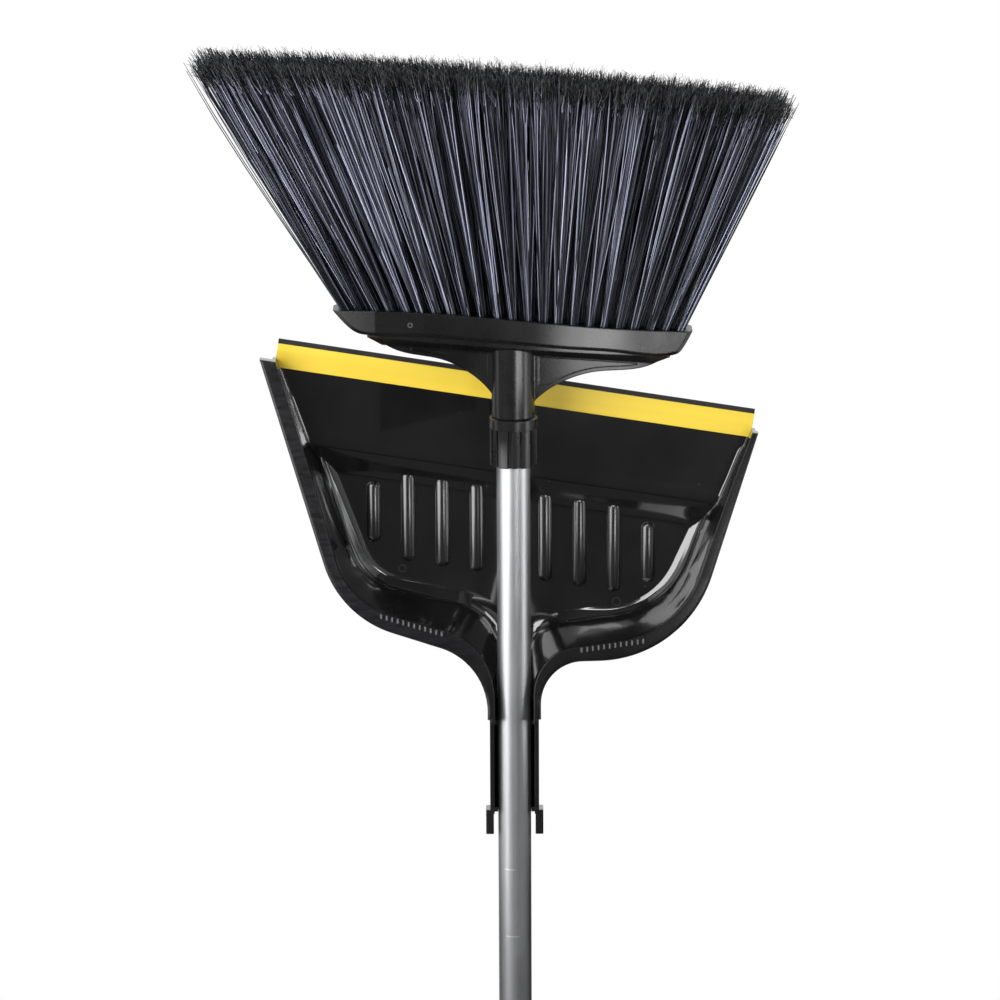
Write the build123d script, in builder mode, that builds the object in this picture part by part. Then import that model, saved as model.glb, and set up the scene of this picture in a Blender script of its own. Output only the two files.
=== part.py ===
"""Angle broom with a clip-on dustpan.

The broom is held head up. +Z runs along the handle towards the bristles, +X is the broom's right seen
from the front, and -Y is the front. The origin is on the handle's axis, half way along the tube.
Sizes are millimetres.
"""

import os
from math import atan2, cos, hypot, pi, radians, sin, tan

from build123d import *

os.makedirs("parts", exist_ok=True)

# Handle
tube_diameter = 22.2
tube_wall = 0.8
tube_length = 1140.0
plug_depth = 24.0
press_gap = 0.03
run_gap = 0.08
end_gap = 0.3

# Hanging cap in the tube's lower end
cap_height = 7.0
eye_width = 18.0
eye_length = 30.0
eye_thickness = 7.0
eye_hole_diameter = 8.0

# Locking collar between tube and head
collar_height = 32.4
collar_floor = 6.0
collar_wall = 2.4
flange_height = 7.3
flange_overhang = 2.4
flange_bevel = 0.8
land_height = 2.0
land_width = 6.6
land_count = 6
flute_rib_height = 0.9
flute_rib_width = 3.6
flute_turn = -86.5
spigot_wall = 1.7
spigot_length = 22.0
thread_gap = 0.3
stem_diameter = 12.0
snap_ledge = 1.5
snap_head_height = 4.0
tenon_size = 9.0
tenon_length = 21.0

# Broom head, heights counted up from the mouth of its socket
head_seat_gap = 0.2
socket_wall = 4.4
socket_depth = 24.5
head_height = 68.4
block_length = 235.0
block_depth_middle = 42.0
block_depth_end = 22.0
block_crown = 2.5
block_sway = 7.4
crown_steps = 8
band_height = 16.2
band_bevel = 2.4
end_run_left = 21.0
end_run_right = 12.5
end_steps = 4
band_steps = 6
end_overrun = 8.0
ledge_width = 2.2
hull_height = 6.0
hull_sink = 6.0
hull_wall = 2.0
hull_end_left = 1.0
hull_end_right = 2.0
hull_end_slope = 10.0
web_thickness = 6.0
web_border = 2.6
web_panel = 4.4
panel_drop = 1.0
panel_steps = 12
gusset_left = [(0.115, -2.0), (0.31, 4.3), (0.575, 6.8), (0.795, 13.9), (1.0, 29.0)]
gusset_right = [(0.077, -2.0), (0.253, 4.6), (0.54, 8.3), (0.78, 16.4), (1.0, 32.0)]
gusset_root = 4.0
gusset_lap = 1.2

# Tufts
row_count = 5
row_tufts = 23
row_border = 8.5
tuft_border = 2.0
slice_thickness = 3.0
slice_border = 4.5
slice_gap = 0.05
strand_width = 1.5
tuft_pattern = [(-1, -1), (1, -1), (0, 1)]
strand_offset = 1.3
tip_offset = 4.2
tip_lean = -13.0
tip_spread = 1.7
tip_depth = 68.0
trim_height = 229.0
trim_slope = 0.079
trim_crown = 0.00012
strand_root = 0.8
staple_size = (3.0, 0.9, 1.2)
staple_lift = 0.3

# Dustpan, heights counted up from the mouth of the head's socket
lip_middle = (3.0, 21.0)
lip_angle = 8.9
lip_length = 320.0
lip_drop = 13.0
pan_wall = 2.2
apron_room = 12.0
step_depth = 8.0
foot_radius = 9.0
foot_steps = 4
neck_flat = 1.5
step_drop = 61.0
step_run = 8.0
step_round = 7.0
rim_front_depth = 20.0
rim_tilt = 8.6
rim_overrun = 16.0
rim_height = 9.0
rim_web = 2.4
rim_round = 1.8
rim_end_wall = 3.0
floor_corners = [(-164.7, 54.4), (-98.7, -123.4), (98.2, -149.4), (169.4, 5.7)]
floor_neck = (-141.0, -149.4)
floor_neck_room = -0.6
floor_radii = [40.0, 34.0, 22.0, 57.0]
mouth_corners = [(-163.4, 55.2), (-115.4, -126.8), (116.7, -148.8), (165.5, 6.9)]
mouth_neck = (-157.6, -162.4)
mouth_neck_room = 2.1
mouth_radii = [60.0, 49.0, 33.0, 75.0]
rim_corners = [(-174.0, 56.0), (-115.5, -135.4), (114.0, -165.4), (171.0, 8.0)]
rim_neck = (-167.0, -167.2)
rim_neck_room = 6.7
rim_radii = [70.0, 45.0, 28.0, 80.0]
neck_end = -205.0
ramp_start = -152.0

# Raised ribs and comb teeth of the dustpan
rib_pitch = 23.0
rib_middle_x = -1.7
rib_middle_z = -89.0
rib_lengths = [60.0, 60.0, 60.0, 40.0]
rib_width = 7.4
rib_height = 2.6
rib_taper = 32.0
comb_teeth = 12
comb_left = ((-88.0, -134.5), (-48.0, -146.5))
comb_right = ((45.0, -158.2), (86.0, -152.8))
comb_tooth = (1.1, 3.4, 3.2)
comb_rise = 2.0

# Channel grip that clips on the tube
grip_room = 2.3
grip_wall = 3.0
grip_end = -272.0
grip_front = 8.0
grip_lap = 10.0
snap_thickness = 3.0
snap_reach = 3.0
snap_heights = [-211.0, -272.0]
foot_size = (5.3, 11.0, 15.0)
foot_lap = 2.0
foot_overhang = 2.85
foot_round = 1.2

# Lip strip and soft edge
strip_thickness = 1.6
strip_front = 16.2
strip_back = 9.3
edge_height = 2.7
strip_room = 0.2
edge_tip = 1.2

# Derived places
tube_radius = tube_diameter / 2
tube_top = tube_length / 2
tube_bottom = -tube_length / 2
plug_radius = tube_radius - tube_wall - press_gap
collar_under = tube_top + end_gap
seat_z = collar_under + collar_floor
spigot_top = seat_z + spigot_length
snap_pocket = spigot_top - snap_head_height - 2 * end_gap
sleeve_radius = tube_radius + run_gap + collar_wall
snap_head_radius = stem_diameter / 2 + snap_ledge
spigot_radius = snap_head_radius + end_gap + spigot_wall
socket_radius = spigot_radius + thread_gap + socket_wall
half_block = block_length / 2
strand_radius = strand_width / 2 / sin(pi / 3)
strand_turns = [2 * pi * i / 3 for i in range(3)]
strand_corners = [(strand_radius * cos(turn), strand_radius * sin(turn), 0) for turn in strand_turns]
row_reach = block_length - 2 * row_border
slice_length = block_length - 2 * slice_border
apron_depth = block_depth_middle / 2 + apron_room
well_depth = apron_depth + step_depth
grip_inner = tube_radius + grip_room
grip_radius = grip_inner + grip_wall
foot_offset = grip_radius + foot_overhang - foot_size[0] / 2
lip_along = Vector(cos(radians(lip_angle)), 0, -sin(radians(lip_angle)))
lip_up = Vector(sin(radians(lip_angle)), 0, cos(radians(lip_angle)))
lip_centre = Vector(lip_middle[0], 0, seat_z + lip_middle[1])
back = Vector(0, 1, 0)


def front_plane(depth):
    """A plane facing the front, this far behind the handle's axis, with its own Y as height over the seat."""
    return Plane(origin=(0, depth, seat_z), x_dir=(1, 0, 0), z_dir=(0, -1, 0))


# Handle tube
with BuildPart() as handle_tube:
    with BuildSketch(Plane.XY.offset(tube_bottom)):
        Circle(tube_radius)
        Circle(tube_radius - tube_wall, mode=Mode.SUBTRACT)
    extrude(amount=tube_length)

# Plug pressed into the tube's top: its stem carries the collar and its square tenon keys the head
with BuildPart() as tube_plug:
    with BuildSketch(Plane.XY.offset(tube_top - plug_depth)):
        Circle(plug_radius)
    extrude(amount=plug_depth)
    with BuildSketch(Plane.XY.offset(tube_top)):
        Circle(stem_diameter / 2)
    extrude(amount=snap_pocket + end_gap - tube_top)
    with BuildSketch(Plane.XY.offset(snap_pocket + end_gap)):
        Circle(snap_head_radius)
    extrude(amount=snap_head_height)
    with BuildSketch(Plane.XY.offset(snap_pocket + end_gap + snap_head_height)):
        Rectangle(tenon_size, tenon_size)
    extrude(amount=tenon_length)

# Cap pressed into the tube's lower end, with a hanging eye
with BuildPart() as hang_cap:
    with BuildSketch(Plane.XY.offset(tube_bottom)):
        Circle(plug_radius)
    extrude(amount=plug_depth)
    with BuildSketch(Plane.XY.offset(tube_bottom - cap_height)):
        Circle(tube_radius)
    extrude(amount=cap_height)
    eye_centre = tube_bottom - cap_height - eye_length + eye_width / 2
    with BuildSketch(Plane(origin=(0, eye_thickness / 2, eye_centre), x_dir=(1, 0, 0), z_dir=(0, -1, 0))):
        Circle(eye_width / 2)
        Rectangle(eye_width, eye_length - eye_width / 2, align=(Align.CENTER, Align.MIN))
        Circle(eye_hole_diameter / 2, mode=Mode.SUBTRACT)
    extrude(amount=eye_thickness)

# Fluted locking collar: it turns on the tube's end, and its threaded spigot draws the head down
with BuildPart() as lock_collar:
    with BuildSketch(Plane.XY.offset(seat_z - collar_height)):
        with PolarLocations((sleeve_radius + land_height) / 2, land_count, flute_turn + 180 / land_count):
            Rectangle(sleeve_radius + land_height, land_width)
        Circle(sleeve_radius + land_height, mode=Mode.INTERSECT)
        with PolarLocations((sleeve_radius + flute_rib_height) / 2, land_count, flute_turn):
            Rectangle(sleeve_radius + flute_rib_height, flute_rib_width)
        Circle(sleeve_radius)
    extrude(amount=collar_height - flange_height)
    with BuildSketch(Plane.XY.offset(seat_z - flange_height)):
        Circle(sleeve_radius + flange_overhang)
    extrude(amount=flange_height)
    chamfer(lock_collar.edges().filter_by(GeomType.CIRCLE).sort_by(Axis.Z)[-1], length=flange_bevel)
    with BuildSketch(Plane.XY.offset(seat_z)):
        Circle(spigot_radius)
    extrude(amount=spigot_length)
    with BuildSketch(Plane.XY.offset(seat_z - collar_height)):
        Circle(tube_radius + run_gap)
    extrude(amount=collar_under - seat_z + collar_height, mode=Mode.SUBTRACT)
    with BuildSketch(Plane.XY.offset(collar_under)):
        Circle(stem_diameter / 2 + run_gap)
    extrude(amount=spigot_top - collar_under, mode=Mode.SUBTRACT)
    with BuildSketch(Plane.XY.offset(snap_pocket)):
        Circle(snap_head_radius + end_gap)
    extrude(amount=spigot_top - snap_pocket, mode=Mode.SUBTRACT)


# Broom head: its long line sways down from left to right and is crowned, like its bristle trim
def block_top(x):
    """Height of the bristle face over the seat at this place along the block."""
    share = x / half_block
    return head_height - block_crown * share**2 - block_sway * sin(pi / 2 * share)


def block_half_depth(x):
    """Half the block's depth, front to back, at this place along it."""
    share = x / half_block
    return (block_depth_end + (block_depth_middle - block_depth_end) * (1 - share**2)) / 2


def crown_curve(rise, left, right):
    """A curve along the block, from left to right, that follows the bristle face at this height over it."""
    places = [left + (right - left) * i / crown_steps for i in range(crown_steps + 1)]
    return Spline(*[(x, block_top(x) + rise) for x in places])


def crown_slab(low, high, depth):
    """A slab that follows the bristle face between two heights, over this depth each way from the middle."""
    end = half_block + band_height
    with BuildPart() as slab:
        with BuildSketch(front_plane(depth)):
            with BuildLine():
                lower = crown_curve(low, -end, end)
                upper = crown_curve(high, -end, end)
                Line(lower @ 0, upper @ 0)
                Line(lower @ 1, upper @ 1)
            make_face()
        extrude(amount=2 * depth)
    return slab.part


def block_plan(plane, inset, left, right):
    """The block's outline from above, a lens with blunt ends, inset, between two places along it."""
    with BuildSketch(plane) as outline:
        with BuildLine():
            middle = block_half_depth((left + right) / 2) - inset
            near = ThreePointArc(
                (left, inset - block_half_depth(left)),
                ((left + right) / 2, -middle),
                (right, inset - block_half_depth(right)),
            )
            far = ThreePointArc(
                (left, block_half_depth(left) - inset),
                ((left + right) / 2, middle),
                (right, block_half_depth(right) - inset),
            )
            Line(near @ 0, far @ 0)
            Line(near @ 1, far @ 1)
        make_face()
    return outline.sketch


def tuft_half_depth(x):
    """Half the depth of the field of tufts at this place along the block."""
    return block_half_depth(x) - tuft_border


def face_strip(near, far, grow, low, high):
    """A strip of the bristle face between two shares of its half depth, grown by a gap."""
    end = slice_length / 2 + grow
    with BuildPart() as piece:
        with BuildSketch(Plane.XY.offset(seat_z)):
            with BuildLine():
                sides = []
                for share, shift in ((near, -grow), (far, grow)):
                    ends = share * tuft_half_depth(end) + shift
                    middle = share * tuft_half_depth(0) + shift
                    sides.append(ThreePointArc((-end, ends), (0, middle), (end, ends)))
                Line(sides[0] @ 0, sides[1] @ 0)
                Line(sides[0] @ 1, sides[1] @ 1)
            make_face()
        extrude(amount=2 * head_height)
        add(crown_slab(low, high, block_depth_middle), mode=Mode.INTERSECT)
    return piece.part


def row_slice(row):
    """The slice of the bristle face that carries one row of tufts."""
    near = -1 + 2 * row / row_count
    far = -1 + 2 * (row + 1) / row_count
    return face_strip(near, far, -slice_gap, -slice_thickness, 0)


def tuft_places(row):
    """Places of one row's tufts on the bristle face: rows stand half a pitch apart, in turn."""
    pitch = row_reach / (row_tufts - 1)
    count = row_tufts - row % 2
    share = -1 + (2 * row + 1) / row_count
    start = -pitch * (count - 1) / 2
    return [(start + pitch * i, share * tuft_half_depth(start + pitch * i), share) for i in range(count)]


def strand(place, side_x, side_y):
    """One three-sided strand of a tuft, from the slice to the trim line."""
    x, y, share = place
    foot = Vector(
        x + side_x * strand_offset,
        y + side_y * strand_offset,
        seat_z + block_top(x) - strand_root,
    )
    tip_x = tip_lean + tip_spread * x + side_x * tip_offset
    trim = trim_height - trim_slope * tip_x - trim_crown * tip_x**2
    tip = Vector(tip_x, share * tip_depth / 2 + side_y * tip_offset, seat_z + trim)
    root = Plane(origin=foot, x_dir=(0, 1, 0), z_dir=tip - foot)
    corners = [root.from_local_coords(corner) for corner in strand_corners]
    return Solid.extrude(Face(Wire.make_polygon(corners)), tip - foot)


def staple_places(row):
    """Places of the wire staples of one row, in the underside of its slice."""
    lift = staple_lift - slice_thickness + staple_size[2] / 2
    return [(x, y, seat_z + block_top(x) + lift) for x, y, share in tuft_places(row)]


slices = [row_slice(row) for row in range(row_count)]

# Wire staples that anchor the tufts, one under each
with BuildPart() as tuft_staples:
    for row in range(row_count):
        with Locations(*staple_places(row)):
            Box(*staple_size)


boat_reach = half_block + end_overrun
band_left = -half_block + end_run_left
band_right = half_block - end_run_right
hull_left = band_left + hull_end_left
hull_right = band_right - hull_end_right
hull_fall = (block_top(hull_right) - block_top(hull_left)) / (hull_right - hull_left)
hull_level = (block_top(hull_right) + block_top(hull_left)) / 2 - hull_fall * (hull_right + hull_left) / 2


def band_foot(x):
    """Height of the band's underside over the seat: it sweeps up at both ends and runs on past the face."""
    left = (x + half_block) / end_run_left
    right = (half_block - x) / end_run_right
    near = min(left, right, 1.0)
    return block_top(x) - band_height * (sin(near * pi / 2) if near > 0 else near * pi / 2)


def band_places():
    """Places along the band's underside, closer together where the ends sweep up."""
    left = [-half_block + end_run_left * i / end_steps for i in range(end_steps)]
    right = [half_block - end_run_right * i / end_steps for i in range(end_steps)]
    middle = [band_left + (band_right - band_left) * i / band_steps for i in range(band_steps + 1)]
    return [-boat_reach] + left + middle + right[::-1] + [boat_reach]


def hull_line(x):
    """Height over the seat of the line where the hull starts to slope in, a little under the band."""
    return hull_level + hull_fall * x - band_height - hull_wall


def block_keel(x):
    """Height of the hull's underside over the seat at this place along the block."""
    return hull_line(x) - hull_height


def gusset_curve(end, points):
    """The free edge of one gusset, from this end of the hull to the socket's wall."""
    socket_side = (socket_radius - gusset_lap) * end / abs(end)
    places = [(end + (socket_side - end) * share, drop) for share, drop in points]
    return Spline(*[(x, block_keel(x) - drop) for x, drop in places], mode=Mode.PRIVATE)


def gusset_sketch(depth, end, points):
    """The face of one gusset at this depth."""
    with BuildSketch(front_plane(depth)) as outline:
        with BuildLine():
            edge = gusset_curve(end, points)
            add(edge)
            Polyline(edge @ 1, (0, (edge @ 1).Y), (0, block_keel(0) + gusset_root), edge @ 0)
        make_face()
    return outline.sketch


def panel_sketch(depth, end, points):
    """The recessed panel of one gusset, a border in from its free edge, the hull and the socket."""
    edge = gusset_curve(end, points)
    side = end / abs(end)
    inner = []
    for i in range(panel_steps + 1):
        place = i / panel_steps
        slope = edge % place
        spot = edge @ place + Vector(slope.Y, -slope.X) * (web_border * side)
        below = block_keel(spot.X) - panel_drop - spot.Y
        if below > 0 and spot.X * side > socket_radius + web_border:
            inner.append((spot.X, spot.Y))
    near = side * (socket_radius + web_border)
    far = inner[0][0]
    with BuildSketch(front_plane(depth)) as outline:
        with BuildLine():
            Spline(*inner)
            Polyline(
                inner[-1],
                (near, inner[-1][1]),
                (near, block_keel(near) - panel_drop),
                (far, block_keel(far) - panel_drop),
                inner[0],
            )
        make_face()
    return outline.sketch


# The band under the bristle face, with ends that sweep up and a bevelled lower edge
with BuildPart() as band:
    with BuildSketch(front_plane(block_depth_middle)):
        with BuildLine():
            foot = Spline(*[(x, band_foot(x)) for x in band_places()])
            Polyline(foot @ 0, (-boat_reach, 2 * head_height), (boat_reach, 2 * head_height), foot @ 1)
        make_face()
    extrude(amount=2 * block_depth_middle)
    add(block_plan(Plane.XY.offset(seat_z), 0, -boat_reach, boat_reach))
    extrude(amount=3 * head_height, mode=Mode.INTERSECT)
    chamfer(band.faces().sort_by(Axis.Z)[0].edges().filter_by(GeomType.LINE, reverse=True), length=band_bevel)
    add(crown_slab(0, 2 * head_height, block_depth_middle), mode=Mode.SUBTRACT)

# The hull under the band: it slopes in from the ledge to the gussets
with BuildPart() as hull:
    ledge = band_bevel + ledge_width
    across = Vector(1, 0, hull_fall)
    hull_top = Plane(origin=(0, 0, seat_z + hull_line(0)), x_dir=across, z_dir=Vector(-hull_fall, 0, 1))
    for drop, inset in ((-hull_sink, ledge), (0, ledge)):
        add(block_plan(hull_top.offset(-drop), inset, hull_left, hull_right))
    loft(ruled=True)
    add(block_plan(hull_top, ledge, hull_left, hull_right))
    with BuildSketch(hull_top.offset(-hull_height)):
        with Locations(((hull_left + hull_right) / 2, 0)):
            Rectangle(hull_right - hull_left - 2 * hull_end_slope, web_thickness)
    loft(ruled=True)

with BuildPart() as head_block:
    add(band.part)
    add(hull.part)
    for end, points in ((hull_left, gusset_left), (hull_right, gusset_right)):
        add(gusset_sketch(web_thickness / 2, end, points))
        extrude(amount=web_thickness, dir=-back)
        for depth, way in ((web_thickness / 2, -back), (-web_thickness / 2, back)):
            add(panel_sketch(depth, end, points))
            extrude(amount=(web_thickness - web_panel) / 2, dir=way, mode=Mode.SUBTRACT)
    with BuildSketch(Plane.XY.offset(seat_z + head_seat_gap)):
        Circle(socket_radius)
    extrude(amount=head_height - band_height)
    with BuildSketch(Plane.XY.offset(seat_z)):
        Circle(spigot_radius + thread_gap)
    extrude(amount=socket_depth, mode=Mode.SUBTRACT)
    with BuildSketch(Plane.XY.offset(seat_z)):
        Rectangle(tenon_size + 2 * thread_gap, tenon_size + 2 * thread_gap)
    extrude(amount=spigot_length + tenon_length + 2 * end_gap, mode=Mode.SUBTRACT)
    add(face_strip(-1, 1, slice_gap, -slice_thickness - slice_gap, slice_thickness), mode=Mode.SUBTRACT)

rows = []
for row, piece in enumerate(slices):
    strands = [strand(place, i, j) for place in tuft_places(row) for i, j in tuft_pattern]
    with BuildPart() as bristle_row:
        add(piece)
        with Locations(*staple_places(row)):
            Box(*[size + 2 * slice_gap for size in staple_size], mode=Mode.SUBTRACT)
        add(strands)
    rows.append(bristle_row.part)


# Dustpan: a skewed tray, deeper and narrower towards its back, with its mouth on an angled lip
def tray_sketch(depth, corners, neck, neck_room, radii, grow, end):
    """Outline of the tray at one depth, grown by a wall, with its neck running on to this height."""
    left, rear_left, rear_right, right = corners
    side = tube_radius + neck_room
    neck_points = [(-side, neck[0]), (-side, end), (side, end), (side, neck[1])]
    points = [left, rear_left, *neck_points, rear_right, right]
    rounds = [0, radii[0], radii[1], 0, 0, radii[2], radii[3], 0]
    with BuildSketch(front_plane(depth)) as outline:
        with BuildLine():
            FilletPolyline(*points, radius=rounds, close=True)
        make_face()
        if grow:
            offset(amount=grow, kind=Kind.INTERSECTION)
    return outline.sketch


ramp_run = ramp_start - neck_end
ramp_rise = well_depth + pan_wall - grip_radius
ramp_out = Vector(0, ramp_run, -ramp_rise) * (1 / hypot(ramp_run, ramp_rise))
ramp_foot = Vector(0, well_depth + pan_wall, seat_z + ramp_start)


def between(low, high, share):
    """The value this share of the way from one value, point or list to another."""
    if isinstance(low, (list, tuple)):
        return type(low)(between(one, two, share) for one, two in zip(low, high))
    return low + (high - low) * share


def tray_section(lift, wall, inset, end):
    """Outline of the tray this far in front of its floor, with a wall added and the foot's inset off."""
    share = lift / (well_depth + rim_overrun)
    return tray_sketch(
        well_depth - lift,
        between(floor_corners, mouth_corners, share),
        between(floor_neck, mouth_neck, share),
        between(floor_neck_room, mouth_neck_room, share),
        between(floor_radii, mouth_radii, share),
        wall - inset,
        end,
    )


def tray_core(wall, end):
    """The tray's space, or with a wall its outside, with a round foot, cut off along the neck's ramp."""
    radius = min(foot_radius, tube_radius + floor_neck_room - neck_flat) + wall
    with BuildPart() as core:
        for i in range(foot_steps + 1):
            turn = pi / 2 * i / foot_steps
            add(tray_section(radius * (1 - cos(turn)) - wall, wall, radius * (1 - sin(turn)), end))
        add(tray_section(well_depth + rim_overrun, wall, 0, end))
        loft(ruled=True)
        ramp = Plane(origin=ramp_foot - ramp_out * (pan_wall - wall), z_dir=ramp_out)
        split(bisect_by=ramp, keep=Keep.BOTTOM)
    return core.part


tray_space = tray_core(0, neck_end - 2 * grip_lap)
tray_outside = tray_core(pan_wall, neck_end)

lip_section = Plane(origin=lip_centre, x_dir=back, z_dir=lip_along)
front_cut = Plane(origin=lip_centre - lip_up * lip_drop, z_dir=lip_up)
rim_out = lip_up * sin(radians(rim_tilt)) - back * cos(radians(rim_tilt))
rim_face = Plane(origin=lip_centre + back * rim_front_depth, x_dir=lip_along, z_dir=rim_out)
apron_top = -edge_height - strip_thickness - strip_room
riser_lag = pan_wall * tan(atan2(step_depth, step_run) / 2)
step_foot = -step_drop - step_run

# The apron behind the lip and the riser of the step down to the well
with BuildPart() as apron:
    with BuildSketch(lip_section):
        with BuildLine():
            FilletPolyline(
                (apron_depth, apron_top),
                (apron_depth, -step_drop),
                (well_depth, step_foot),
                (well_depth, step_foot - step_round),
                (well_depth + pan_wall, step_foot - step_round),
                (well_depth + pan_wall, step_foot + riser_lag),
                (apron_depth + pan_wall, -step_drop + riser_lag),
                (apron_depth + pan_wall, apron_top),
                radius=[0, step_round, step_round, 0, 0, step_round + pan_wall, step_round - pan_wall, 0],
                close=True,
            )
        make_face()
    extrude(amount=lip_length / 2, both=True)
    add(tray_outside, mode=Mode.INTERSECT)

# The space behind the apron, where the tray's deeper floor is cut away
with BuildPart() as apron_back:
    with BuildSketch(lip_section):
        with BuildLine():
            FilletPolyline(
                (apron_depth + pan_wall, lip_drop),
                (apron_depth + pan_wall, -step_drop + riser_lag),
                (well_depth + pan_wall, step_foot + riser_lag),
                (well_depth + pan_wall, step_foot - step_round),
                (well_depth + 4 * pan_wall, step_foot - step_round),
                (well_depth + 4 * pan_wall, lip_drop),
                radius=[0, step_round - pan_wall, step_round + pan_wall, 0, 0, 0],
                close=True,
            )
        make_face()
    extrude(amount=lip_length, both=True)


def rim_core(inset, drop):
    """Everything inside the rim's outline that lies behind the rim's face, this far inset and dropped."""
    with BuildPart() as core:
        add(tray_sketch(well_depth, rim_corners, rim_neck, rim_neck_room, rim_radii, -inset, neck_end))
        extrude(amount=well_depth + rim_overrun, dir=-back)
        split(bisect_by=rim_face.offset(-drop), keep=Keep.BOTTOM)
    return core.part


# Rolled rim: an inverted channel round the tray's mouth, with a rounded edge and closed ends
with BuildPart() as rim_hollow:
    add(rim_core(pan_wall, rim_web))
    split(bisect_by=front_cut.offset(-rim_end_wall), keep=Keep.BOTTOM)

with BuildPart() as rim:
    add(rim_core(0, 0))
    split(bisect_by=front_cut, keep=Keep.BOTTOM)
    fillet(rim.faces().sort_by(Axis.Y)[0].edges(), radius=rim_round)
    add(rim_hollow.part, mode=Mode.SUBTRACT)
    split(bisect_by=rim_face.offset(-rim_height), keep=Keep.TOP)
    add(tray_space, mode=Mode.SUBTRACT)


def rim_depth(x, z):
    """Depth of the rim's face behind the handle's axis at this place."""
    below = (lip_centre - Vector(x, 0, seat_z + z)).dot(lip_up)
    return rim_front_depth - below * tan(radians(rim_tilt))


comb_places = []
for start, stop in (comb_left, comb_right):
    for i in range(comb_teeth):
        x = start[0] + (stop[0] - start[0]) * i / (comb_teeth - 1)
        z = start[1] + (stop[1] - start[1]) * i / (comb_teeth - 1)
        comb_places.append((x, rim_depth(x, z) - comb_rise + comb_tooth[1] / 2, seat_z + z))

with BuildPart() as dustpan:
    add(tray_outside)
    split(bisect_by=rim_face, keep=Keep.BOTTOM)
    add(tray_space, mode=Mode.SUBTRACT)
    add(apron_back.part, mode=Mode.SUBTRACT)
    add(rim.part)
    split(bisect_by=front_cut, keep=Keep.BOTTOM)
    add(apron.part)
    with BuildSketch(front_plane(well_depth)):
        for i, length in enumerate(rib_lengths):
            for side in (-1, 1):
                x = rib_middle_x + side * (i + 1) * rib_pitch
                with Locations((x, rib_middle_z - (x - rib_middle_x) * tan(radians(lip_angle)))):
                    SlotOverall(length, rib_width, rotation=90)
    extrude(amount=rib_height, taper=rib_taper)
    with Locations(*comb_places):
        Box(*comb_tooth)
    with BuildSketch(Plane.XY.offset(seat_z + grip_end)):
        Circle(grip_radius)
        Rectangle(2 * grip_radius, grip_radius, align=(Align.CENTER, Align.MAX))
        Circle(grip_inner, mode=Mode.SUBTRACT)
        Rectangle(2 * grip_inner, 2 * grip_radius, align=(Align.CENTER, Align.MAX), mode=Mode.SUBTRACT)
        with Locations((0, -grip_front)):
            Rectangle(4 * grip_radius, 2 * grip_radius, align=(Align.CENTER, Align.MAX), mode=Mode.SUBTRACT)
    extrude(amount=neck_end + grip_lap - grip_end)
    clip_width = 2 * (tube_radius + run_gap)
    for height in snap_heights:
        with BuildSketch(Plane.XY.offset(seat_z + height)):
            Circle(grip_inner + grip_wall / 2)
            Circle(clip_width / 2, mode=Mode.SUBTRACT)
            Rectangle(clip_width, 2 * grip_radius, align=(Align.CENTER, Align.MAX), mode=Mode.SUBTRACT)
            with Locations((0, -snap_reach)):
                Rectangle(4 * grip_radius, grip_radius, align=(Align.CENTER, Align.MAX), mode=Mode.SUBTRACT)
        extrude(amount=snap_thickness)
    with BuildSketch(Plane.XY.offset(seat_z + grip_end + foot_lap)):
        with Locations((-foot_offset, 0), (foot_offset, 0)):
            RectangleRounded(foot_size[0], foot_size[1], foot_round)
    extrude(amount=-foot_size[2] - foot_lap)

# Lip strip pressed on the apron's edge, and the thin soft edge along it
with BuildPart() as lip_strip:
    strip_face = apron_depth - strip_thickness
    strip_rear = apron_depth + pan_wall + strip_thickness
    with BuildSketch(lip_section):
        with BuildLine():
            Polyline(
                (strip_face, -edge_height),
                (strip_rear, -edge_height),
                (strip_rear, -edge_height - strip_back),
                (apron_depth + pan_wall, -edge_height - strip_back),
                (apron_depth + pan_wall, -edge_height - strip_thickness),
                (apron_depth, -edge_height - strip_thickness),
                (apron_depth, -edge_height - strip_front),
                (strip_face, -edge_height - strip_front),
                close=True,
            )
        make_face()
    extrude(amount=lip_length / 2, both=True)
    add(tray_space, mode=Mode.INTERSECT)

with BuildPart() as lip_edge:
    with BuildSketch(lip_section):
        with BuildLine():
            Polyline(
                (strip_face, -edge_height),
                (strip_face + (strip_rear - strip_face - edge_tip) / 2, 0),
                (strip_face + (strip_rear - strip_face + edge_tip) / 2, 0),
                (strip_rear, -edge_height),
                close=True,
            )
        make_face()
    extrude(amount=lip_length / 2, both=True)

exports = {
    "handle_tube": handle_tube.part,
    "tube_plug": tube_plug.part,
    "hang_cap": hang_cap.part,
    "lock_collar": lock_collar.part,
    "head_block": head_block.part,
    "tuft_staples": tuft_staples.part,
    "dustpan": dustpan.part,
    "lip_strip": lip_strip.part,
    "lip_edge": lip_edge.part,
}
for row, piece in enumerate(rows):
    exports[f"bristle_row_{row + 1}"] = piece
for name, piece in exports.items():
    piece.label = name
    export_step(piece, f"parts/{name}.step")
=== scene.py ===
"""Angle broom with a clip-on dustpan: bristles, finishes, studio and camera.

Everything is in metres in the frame of the CAD model: +Z runs along the handle towards the bristles,
+X is the broom's right seen from the front, and -Y is the front. The classes that make meshes hold their
sizes in millimetres, with heights over the handle's seat.
"""

import logging
import math
from dataclasses import dataclass
from enum import Enum, IntEnum
from typing import ClassVar, Iterable, Optional, Sequence

import bmesh
import bpy
import numpy as np
from bpy.types import Material, Mesh, Node, NodeSocket, NodeTree, Object
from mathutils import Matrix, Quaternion, Vector
from mathutils.bvhtree import BVHTree


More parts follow.
